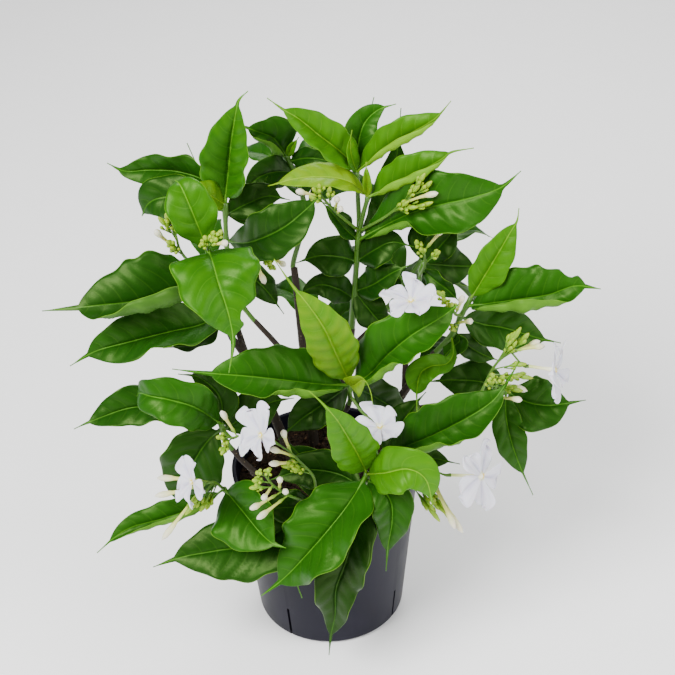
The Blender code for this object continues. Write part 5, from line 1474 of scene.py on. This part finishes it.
def add_node(tree, kind, inputs=(), output=0, stops=(), **settings):
    """Adds a shader node with its settings and links, and gives one of its outputs.

    inputs are values, hex colours or links, in order or by their names or numbers. stops are the
    places and hex colours of a ramp.
    """
    item = tree.nodes.new("ShaderNode" + kind)
    for name, value in settings.items():
        setattr(item, name, value)
    for name, value in inputs.items() if isinstance(inputs, dict) else enumerate(inputs):
        if isinstance(value, bpy.types.NodeSocket):
            tree.links.new(value, item.inputs[name])
        else:
            item.inputs[name].default_value = linear(value) if isinstance(value, str) else value
    if stops:
        ramp = item.color_ramp
        while len(ramp.elements) < len(stops):
            ramp.elements.new(1.0)
        for element, (place, colour) in zip(ramp.elements, stops):
            element.position = place
            element.color = linear(colour)
    return item.outputs[output]


def new_finish(name, **sockets):
    """A material whose uniform values sit on its shader's own sockets, and a way to add its nodes."""
    finish = bpy.data.materials.new(name)
    finish.use_nodes = True
    shader = finish.node_tree.nodes["Principled BSDF"]
    for socket, value in sockets.items():
        shader.inputs[socket.replace("_", " ")].default_value = value
    return finish, partial(add_node, finish.node_tree)


def finished(finish, **sockets):
    """The material with its patterns linked to its shader."""
    tree = finish.node_tree
    shader = tree.nodes["Principled BSDF"]
    for socket, pattern in sockets.items():
        tree.links.new(pattern, shader.inputs[socket.replace("_", " ")])
    return finish


def speckle(add, grain, detail=3.0):
    """A pattern of soft grains, as wide as given in millimetres, fixed to the piece."""
    space = add("TexCoord", output="Object")
    return add("TexNoise", {"Vector": space, "Scale": 1.0 / (grain * MM), "Detail": detail})


def grain_relief(add, grain, depth, strength, detail=3.0):
    """Fine relief whose grains and depth are in millimetres."""
    return add("Bump", {"Height": speckle(add, grain, detail), "Distance": depth * MM, "Strength": strength})


def streaks(add, across, along, narrow, scale, detail=3.0):
    """A pattern of streaks along a piece, narrow times as fine across it."""
    squeezed = add("Math", (across, narrow), operation="MULTIPLY")
    return add("TexNoise", {"Vector": add("CombineXYZ", (squeezed, along)), "Scale": scale, "Detail": detail})


def painted_values(add):
    """The piece's own painted values: three along its surface, and its age."""
    place = add("Attribute", output="Vector", attribute_name="place_on_piece")
    along_surface = add("SeparateXYZ", (place,)).node.outputs
    return (*along_surface, add("Attribute", output="Fac", attribute_name="age"))


def leaf_face(name, colours, edge_share, roughness):
    """The look that both faces of a leaf share: age, mottling, veins, painted light and shade between the
    sunk veins, pale edge and fine relief.
    """
    leaves = settings_of("leaves")
    finish, add = new_finish(name, IOR=1.45, Specular_IOR_Level=0.3, Specular_Tint=LEAF_SHINE)
    aside, across, vein, age = painted_values(add)
    from_rib = add("Math", (aside,), operation="ABSOLUTE")
    mottle = speckle(add, 16.0)
    centred = add("Math", (mottle, 0.5), operation="SUBTRACT")
    tone = add("Math", (centred, 0.16, age), operation="MULTIPLY_ADD")
    # painted light and shade: a blade is painted a little lighter midway between two lateral veins, as the
    # light on each puff of the quilted blade, and so darker along the sunk veins, as the shade in their
    # creases
    midway = add("Math", (vein, 0.5), operation="PINGPONG")
    tone = add("Math", (midway, 0.12, tone), operation="MULTIPLY_ADD")
    colour = add("ValToRGB", (tone,), stops=colours)
    pale_stops = ((0.0, "23480E"), (0.3, "38680F"), (0.6, leaves.vein_colour), (1.0, "87A81C"))
    pale = add("ValToRGB", (tone,), stops=pale_stops)
    line = add("MapRange", (midway, 0.01, 0.06, 1.0, 0.0), **SMOOTH)
    faint = add("MapRange", (from_rib, 0.55, 0.9, 0.18, 0.0), **SMOOTH)
    veins = add("Math", (line, faint), operation="MULTIPLY")
    colour = add("Mix", {0: veins, 6: colour, 7: pale}, 2, **COLOUR_MIX)
    rib = add("MapRange", (across, 0.2, 0.65, 0.7, 0.0), **SMOOTH)
    colour = add("Mix", {0: rib, 6: colour, 7: pale}, 2, **COLOUR_MIX)
    edge = add("MapRange", (from_rib, 0.975, 0.997, 0.0, edge_share), **SMOOTH)
    colour = add("Mix", {0: edge, 6: colour, 7: leaves.edge_colour}, 2, **COLOUR_MIX)
    gloss = add("MapRange", (mottle, 0.0, 1.0, roughness - 0.06, roughness + 0.08))
    # areoles of the vein net are under 1 mm wide, and are drawn 2.4 mm wide so that they show
    space = add("TexCoord", output="Object")
    cells = add("TexVoronoi", {"Vector": space, "Scale": 1.0 / (2.4 * MM)}, feature="DISTANCE_TO_EDGE")
    net = add("MapRange", (cells, 0.0, 0.25), **SMOOTH)
    netted = add("Bump", {"Height": net, "Distance": 0.06 * MM, "Strength": 0.35})
    relief = {"Height": speckle(add, 14.0, 1.0), "Distance": 0.3 * MM, "Strength": 0.3, "Normal": netted}
    return finished(finish, Base_Color=colour, Roughness=gloss, Normal=add("Bump", relief))


def leaf_upper_finish():
    """Waxy leaf cuticle: a smooth clear wax skin over dark green tissue, so its gloss is broad and wet."""
    s = settings_of("leaves")
    colours = ((0.0, s.old_colour), (0.3, s.mature_colour), (0.6, s.fresh_colour), (0.85, s.young_colour),
               (1.0, s.newest_colour))
    return leaf_face("waxy_leaf_cuticle", colours, 0.6, 0.4)


def leaf_under_finish():
    """Leaf underside: matt and pale, because its tissue is spongy and carries little wax."""
    colours = ((0.0, "263E18"), (0.3, "33581A"), (0.6, "50801A"), (0.85, "689312"), (1.0, "7C9A12"))
    return leaf_face("leaf_underside", colours, 0.4, 0.5)


def midrib_finish():
    """Leaf stalk and midrib: smooth pale juicy tissue."""
    finish, add = new_finish("leaf_midrib", Roughness=0.42, IOR=1.42)
    age = painted_values(add)[3]
    colours = ((0.0, "2A4C12"), (0.3, "3C6814"), (0.6, "558A18"), (1.0, "7C9C1C"))
    colour = add("ValToRGB", (age,), stops=colours)
    return finished(finish, Base_Color=colour, Normal=grain_relief(add, 1.5, 0.08, 0.4))


def green_stem_finish():
    """Young stem skin: smooth green epidermis with faint lengthwise streaks."""
    finish, add = new_finish("green_stem_skin", Roughness=0.42, IOR=1.45)
    turn, _, share, _ = painted_values(add)
    streak = streaks(add, turn, share, 9.0, 2.0)
    colour = add("Mix", {0: streak, 6: "274A10", 7: "4E7A1C"}, 2, **COLOUR_MIX)
    bump = add("Bump", {"Height": streak, "Distance": 0.15 * MM, "Strength": 0.5})
    return finished(finish, Base_Color=colour, Normal=bump)


def bud_finish():
    """Bud skin: green calyx and stalk that pass into a waxy cream tube and a white closed head."""
    finish, add = new_finish("bud_skin", Roughness=0.46, IOR=1.42, Subsurface_Weight=0.12,
                             Subsurface_Scale=0.002)
    _, kind, share, _ = painted_values(add)
    bud_colour = settings_of("flowers").bud_colour
    small = ((0.0, "335C14"), (0.5, "4A7C14"), (0.62, bud_colour), (0.93, "80A00A"), (1.0, "9AAA1E"))
    long = ((0.0, "5C8420"), (0.28, "86A82E"), (0.36, "BCC258"), (0.68, "D2CE7C"), (0.8, "E2DEB4"),
            (1.0, "E6DED2"))
    green = add("ValToRGB", (share,), stops=small)
    cream = add("ValToRGB", (share,), stops=long)
    colour = add("Mix", {0: kind, 6: green, 7: cream}, 2, **COLOUR_MIX)
    patch = add("Math", (speckle(add, 5.0), 0.3), operation="MULTIPLY")
    colour = add("Mix", {0: patch, 6: colour, 7: "7E9C34"}, 2, **COLOUR_MIX)
    return finished(finish, Base_Color=colour, Normal=grain_relief(add, 1.2, 0.1, 0.4))


def petal_finish():
    """Petal tissue: thin, white and softly matt, with fine lengthwise veins in a faint lilac, and painted
    lilac-grey shade along each petal's middle crease, deepest toward the eye.
    """
    flowers = settings_of("flowers")
    finish, add = new_finish("petal_tissue", Roughness=0.6, IOR=1.4, Subsurface_Weight=0.1,
                             Subsurface_Scale=0.002, Specular_IOR_Level=0.3)
    aside, reach, share, _ = painted_values(add)
    streak = streaks(add, aside, share, 7.0, 2.2, 2.0)
    from_middle = add("Math", (aside,), operation="ABSOLUTE")
    # painted shade: each petal is painted darker along its middle crease, most toward the eye, where shade
    # falls; the streaks mixed into it are the petal's own lengthwise veins
    crease = add("MapRange", (from_middle, 0.05, 0.4, 1.0, 0.0), **SMOOTH)
    shade_toward_eye = add("MapRange", (share, 0.5, 0.95, 0.5, 0.0), **SMOOTH)
    depth = add("Math", (crease, shade_toward_eye), operation="MULTIPLY")
    shade = add("Math", (streak, 0.35, depth), operation="MULTIPLY_ADD")
    colour = add("Mix", {0: shade, 6: flowers.petal_colour, 7: flowers.vein_and_shade_colour}, 2, **COLOUR_MIX)
    near_eye = add("MapRange", (reach, 1.2, 4.6, 0.8, 0.0), **SMOOTH)
    colour = add("Mix", {0: near_eye, 6: colour, 7: "E6E6A0"}, 2, **COLOUR_MIX)
    bump = add("Bump", {"Height": streak, "Distance": 0.5 * MM, "Strength": 0.7})
    return finished(finish, Base_Color=colour, Normal=bump)


def tube_finish():
    """Flower tube: slim waxy cream tissue, greener at its foot."""
    finish, add = new_finish("flower_tube", Roughness=0.5, IOR=1.42)
    share = painted_values(add)[2]
    colour = add("ValToRGB", (share,), stops=((0.0, "B9CC6A"), (0.35, "DDDDA0"), (1.0, "F2F0DC")))
    return finished(finish, Base_Color=colour, Normal=grain_relief(add, 1.4, 0.1, 0.4))


def eye_finish():
    """Flower eye: the yellow scaly ring of the throat, dusty with pollen."""
    finish, add = new_finish("flower_eye", Roughness=0.7, IOR=1.4)
    eye_colour = settings_of("flowers").eye_colour
    colour = add("Mix", {0: speckle(add, 0.6), 6: eye_colour, 7: "D9B93A"}, 2, **COLOUR_MIX)
    return finished(finish, Base_Color=colour, Normal=grain_relief(add, 0.6, 0.2, 0.8))


def pot_finish():
    """Injection-moulded polypropylene: satin charcoal with a fine mould texture, dusty low down."""
    pot = settings_of("pot")
    finish, add = new_finish("moulded_polypropylene", IOR=1.49, Specular_IOR_Level=0.12,
                             Specular_Tint=POT_SHINE)
    space = add("TexCoord", output="Object")
    height = add("SeparateXYZ", (space,), "Z")
    cloud = speckle(add, 28.0, 5.0)
    low = add("MapRange", (height, 0.0, 60.0 * MM, 0.37, 0.12), **SMOOTH)
    clouded = add("MapRange", (cloud, 0.42, 0.75), **SMOOTH)
    dust = add("Math", (clouded, low), operation="MULTIPLY")
    colour = add("Mix", {0: dust, 6: pot.colour, 7: pot.dust_colour}, 2, **COLOUR_MIX)
    rough = add("MapRange", (cloud, 0.0, 1.0, pot.roughness - 0.06, pot.roughness + 0.1))
    # the mould's texture is about 0.3 mm wide, and is drawn 0.9 mm wide so that it shows
    bump = grain_relief(add, 0.9, 0.05, 0.5, 2.0)
    return finished(finish, Base_Color=colour, Roughness=rough, Normal=bump)


def soil_finish():
    """Potting mix: damp peat and fibre, dark and crumbly with paler dry grains."""
    soil = settings_of("soil")
    finish, add = new_finish("peat_potting_mix", Roughness=0.95, IOR=1.4, Specular_IOR_Level=0.2)
    grain = speckle(add, 2.5, 6.0)
    dry = add("MapRange", (grain, 0.35, 0.7), **SMOOTH)
    colour = add("Mix", {0: dry, 6: soil.damp_colour, 7: soil.dry_colour}, 2, **COLOUR_MIX)
    bump = add("Bump", {"Height": grain, "Distance": 1.2 * MM, "Strength": 0.9})
    return finished(finish, Base_Color=colour, Normal=bump)


def chip_finish():
    """Composted pine bark bits: matt red-brown wood fibre."""
    finish, add = new_finish("composted_bark_bits", Roughness=0.85, IOR=1.45)
    grain = speckle(add, 1.5, 4.0)
    colour = add("Mix", {0: grain, 6: "3A2617", 7: "7A5636"}, 2, **COLOUR_MIX)
    bump = add("Bump", {"Height": grain, "Distance": 0.4 * MM, "Strength": 0.8})
    return finished(finish, Base_Color=colour, Normal=bump)


def bark_finish():
    """Shrub bark: thin grey-brown cork with lengthwise cracks and pale breathing pores."""
    stems = settings_of("stems")
    finish, add = new_finish("young_shrub_bark", Roughness=0.82, IOR=1.45)
    turn, _, share, _ = painted_values(add)
    drawn_out = add("Math", (share, 5.0), operation="MULTIPLY")
    crack = streaks(add, turn, drawn_out, 8.0, 2.5, 5.0)
    colour = add("Mix", {0: crack, 6: stems.bark_dark, 7: stems.bark_light}, 2, **COLOUR_MIX)
    space = add("TexCoord", output="Object")
    pore = add("TexVoronoi", {"Vector": space, "Scale": 1.0 / (4.0 * MM)})
    dots = add("MapRange", (pore, 0.1, 0.2, 1.0, 0.0), **SMOOTH)
    pale = add("Math", (dots, 0.6), operation="MULTIPLY")
    colour = add("Mix", {0: pale, 6: colour, 7: "6E6248"}, 2, **COLOUR_MIX)
    height = add("Math", (dots, 0.3, crack), operation="MULTIPLY_ADD")
    bump = add("Bump", {"Height": height, "Distance": 0.6 * MM, "Strength": 0.8})
    return finished(finish, Base_Color=colour, Normal=bump)


def floor_finish():
    """Matt painted studio board, even and pale."""
    finish, add = new_finish("painted_studio_board", Roughness=0.9, IOR=1.45, Specular_IOR_Level=0.1)
    faint = add("Math", (speckle(add, 40.0, 2.0), 0.2), operation="MULTIPLY")
    board = settings_of("studio").floor_colour
    colour = add("Mix", {0: faint, 6: board, 7: "F2F2F0"}, 2, **COLOUR_MIX)
    return finished(finish, Base_Color=colour)


# Settings that a user may change

def colour_setting(name, what, default):
    text = what + ", as an sRGB hex colour"
    return bpy.props.StringProperty(name=name, description=text, default=default)


def power_setting(name, what, default):
    return bpy.props.FloatProperty(name=name, description="Power of the " + what, default=default, min=0.0,
                                   max=500.0, subtype="POWER", unit="POWER")


def length_setting(name, what, default, least, most):
    return bpy.props.FloatProperty(name=name, description=what, default=default, min=least, max=most,
                                   unit="LENGTH")


class PotSettings(bpy.types.PropertyGroup):
    colour: colour_setting("Colour", "The pot's plastic", "14131D")
    dust_colour: colour_setting("Dust", "Dry dust that settles on the pot", "2A2834")
    roughness: bpy.props.FloatProperty(
        name="Roughness", description="How matt the plastic is", default=0.4, min=0.1, max=1.0,
        subtype="FACTOR")
    slit_width: length_setting("Slit width", "Width of each drain slit at the foot", 0.0022, 0.001, 0.004)


class SoilSettings(bpy.types.PropertyGroup):
    damp_colour: colour_setting("Damp", "Damp potting mix", "170F0A")
    dry_colour: colour_setting("Dry", "Dry crumbs of the potting mix", "38281C")
    crumbs: bpy.props.IntProperty(
        name="Crumbs", description="Number of loose crumbs and bark bits on the mix", default=1500, min=0,
        max=4000)


class StemSettings(bpy.types.PropertyGroup):
    bark_dark: colour_setting("Bark, dark", "Cracks of the bark", "140E09")
    bark_light: colour_setting("Bark, light", "Ridges of the bark", "382B1F")


class LeafSettings(bpy.types.PropertyGroup):
    old_colour: colour_setting("Old", "The oldest leaves", "0A2404")
    mature_colour: colour_setting("Mature", "Mature leaves", "103805")
    fresh_colour: colour_setting("Fresh", "Full-grown fresh leaves", "1D5205")
    young_colour: colour_setting("Young", "Young leaves", "3A7004")
    newest_colour: colour_setting("Newest", "The newest leaves", "648606")
    vein_colour: colour_setting("Veins", "Midribs and veins", "4F8A1A")
    edge_colour: colour_setting("Edge", "The thin pale leaf edge", "6B9A20")
    vein_spacing: length_setting("Vein spacing", "Distance between lateral veins along a leaf", 0.012,
                                 0.004, 0.02)
    blade_thickness: length_setting("Blade thickness", "Thickness of a leaf blade", 0.00045, 0.0003, 0.0008)


class FlowerSettings(bpy.types.PropertyGroup):
    petal_colour: colour_setting("Petals", "Open petals", "E3E2E9")
    # lilac-grey of the petal veins, which also serves as the painted shade along each petal's crease
    vein_and_shade_colour: colour_setting("Petal veins and shade", "Faint shade along the petals", "B0AEC6")
    eye_colour: colour_setting("Eye", "The flower's eye", "F0DF6A")
    bud_colour: colour_setting("Buds", "Closed green buds", "66920A")


class StudioSettings(bpy.types.PropertyGroup):
    floor_colour: colour_setting("Floor", "The pale floor", "FFFFFF")
    key_power: power_setting("Key light", "large soft light at the upper left", 80.0)
    fill_power: power_setting("Fill light", "soft light at the right", 26.0)
    back_power: power_setting("Back light", "soft light behind the plant", 26.0)
    world_strength: bpy.props.FloatProperty(
        name="Surroundings", description="Brightness of the white room around the plant", default=0.3,
        min=0.0, max=5.0)


def settings_of(group):
    """The settings of one kind of piece, as the user has them."""
    return getattr(bpy.context.scene, "jasmine_" + group)


# Operators, one for each kind of piece and one for the stage

def make_pieces(names, finishes, add_forms, suffix, slot):
    """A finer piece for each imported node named: add_forms adds its forms to a shape."""
    for name in names:
        shape = Shape(finishes)
        add_forms(shape, name)
        placed(shape.made(name + suffix), slot, name)
    return {"FINISHED"}


class JASMINE_OT_pot(bpy.types.Operator):
    """Makes the tapered nursery pot with its lip and drain slits"""

    bl_idname = "jasmine.pot"
    bl_label = "Nursery pot"

    def execute(self, context):
        placed(make_pot(pot_finish()), "pot", "pot")
        return {"FINISHED"}


class JASMINE_OT_soil(bpy.types.Operator):
    """Makes the potting mix with its crumbs and bark bits"""

    bl_idname = "jasmine.soil"
    bl_label = "Potting mix"

    def execute(self, context):
        shape = Shape([soil_finish(), chip_finish()])
        add_soil(shape)
        placed(shape.made("potting_mix"), "soil", "soil")
        return {"FINISHED"}


class JASMINE_OT_woody_stems(bpy.types.Operator):
    """Makes the woody stems with their branches and bark"""

    bl_idname = "jasmine.woody_stems"
    bl_label = "Woody stems"

    def execute(self, context):
        return make_pieces(WOODY_STEMS, [bark_finish()], add_woody_stem, "_bark", "bark")


class JASMINE_OT_leafy_stems(bpy.types.Operator):
    """Makes the leafy stems: green stems and waved, veined leaves"""

    bl_idname = "jasmine.leafy_stems"
    bl_label = "Leafy stems"

    def execute(self, context):
        finishes = [leaf_upper_finish(), leaf_under_finish(), midrib_finish(), green_stem_finish()]
        return make_pieces((*SHOOTS, *BACK_SHOOTS), finishes, add_shoot, "_foliage", "leaf")


class JASMINE_OT_flower_clusters(bpy.types.Operator):
    """Makes the flower clusters: stalks, green buds and long cream buds"""

    bl_idname = "jasmine.flower_clusters"
    bl_label = "Flower clusters"

    def execute(self, context):
        return make_pieces(SPRAYS, [bud_finish()], add_spray, "_buds", "bud")


class JASMINE_OT_blooms(bpy.types.Operator):
    """Makes the open white blooms with their tubes and eyes"""

    bl_idname = "jasmine.blooms"
    bl_label = "Blooms"

    def execute(self, context):
        finishes = [petal_finish(), tube_finish(), eye_finish()]
        return make_pieces(BLOOMS, finishes, add_bloom, "_petals", "petal")


class JASMINE_OT_studio(bpy.types.Operator):
    """Makes the pale floor, the soft lights and the camera of the photograph"""

    bl_idname = "jasmine.studio"
    bl_label = "Studio and camera"

    def execute(self, context):
        studio = settings_of("studio")
        bpy.ops.mesh.primitive_plane_add(size=FLOOR_SIZE)
        floor = context.object
        floor.name = "studio_floor"
        floor.data.materials.append(floor_finish())
        for name, place, size, power in LIGHTS:
            lamp = bpy.data.lights.new(name, "AREA")
            lamp.shape = "SQUARE"
            lamp.size = size
            lamp.energy = getattr(studio, power)
            light = bpy.data.objects.new(name, lamp)
            light.location = place
            light.rotation_euler = (LIGHT_TARGET - Vector(place)).to_track_quat("-Z", "Y").to_euler()
            context.scene.collection.objects.link(light)
        world = bpy.data.worlds.new("white_room")
        world.use_nodes = True
        room = world.node_tree.nodes["Background"]
        room.inputs["Color"].default_value = linear("FFFFFF")
        room.inputs["Strength"].default_value = studio.world_strength
        context.scene.world = world
        lens = bpy.data.cameras.new("photo_camera")
        lens.lens = LENS
        lens.sensor_width = SENSOR
        lens.sensor_fit = "HORIZONTAL"
        camera = bpy.data.objects.new("photo_camera", lens)
        turn = Matrix((CAMERA_RIGHT, CAMERA_UP, -CAMERA_FORWARD)).transposed().to_4x4()
        camera.matrix_world = Matrix.Translation(CAMERA_PLACE * MM) @ turn
        context.scene.collection.objects.link(camera)
        context.scene.camera = camera
        return {"FINISHED"}


class JASMINE_PT_panel(bpy.types.Panel):
    """Lists the steps and the settings of the potted jasmine"""

    bl_idname = "JASMINE_PT_panel"
    bl_label = "Potted jasmine"
    bl_space_type = "VIEW_3D"
    bl_region_type = "UI"
    bl_category = "Jasmine"

    def draw(self, context):
        for step in STEPS:
            self.layout.operator(step.bl_idname)
        for name, (_, title) in SETTINGS.items():
            box = self.layout.box()
            box.label(text=title)
            group = getattr(context.scene, name)
            for key in group.__annotations__:
                box.prop(group, key)


SETTINGS = {
    "jasmine_pot": (PotSettings, "Pot"),
    "jasmine_soil": (SoilSettings, "Potting mix"),
    "jasmine_stems": (StemSettings, "Woody stems"),
    "jasmine_leaves": (LeafSettings, "Leaves"),
    "jasmine_flowers": (FlowerSettings, "Buds and blooms"),
    "jasmine_studio": (StudioSettings, "Studio"),
}

STEPS = (
    JASMINE_OT_studio,
    JASMINE_OT_pot,
    JASMINE_OT_soil,
    JASMINE_OT_woody_stems,
    JASMINE_OT_leafy_stems,
    JASMINE_OT_flower_clusters,
    JASMINE_OT_blooms,
)


def register():
    for name, (group, _) in SETTINGS.items():
        bpy.utils.register_class(group)
        setattr(bpy.types.Scene, name, bpy.props.PointerProperty(type=group))
    for item in (*STEPS, JASMINE_PT_panel):
        bpy.utils.register_class(item)


def unregister():
    for item in (JASMINE_PT_panel, *reversed(STEPS)):
        bpy.utils.unregister_class(item)
    for name, (group, _) in SETTINGS.items():
        delattr(bpy.types.Scene, name)
        bpy.utils.unregister_class(group)


def main():
    register()
    bpy.ops.jasmine.studio()
    bpy.ops.jasmine.pot()
    bpy.ops.jasmine.soil()
    bpy.ops.jasmine.woody_stems()
    bpy.ops.jasmine.leafy_stems()
    bpy.ops.jasmine.flower_clusters()
    bpy.ops.jasmine.blooms()


if __name__ == "__main__":
    main()
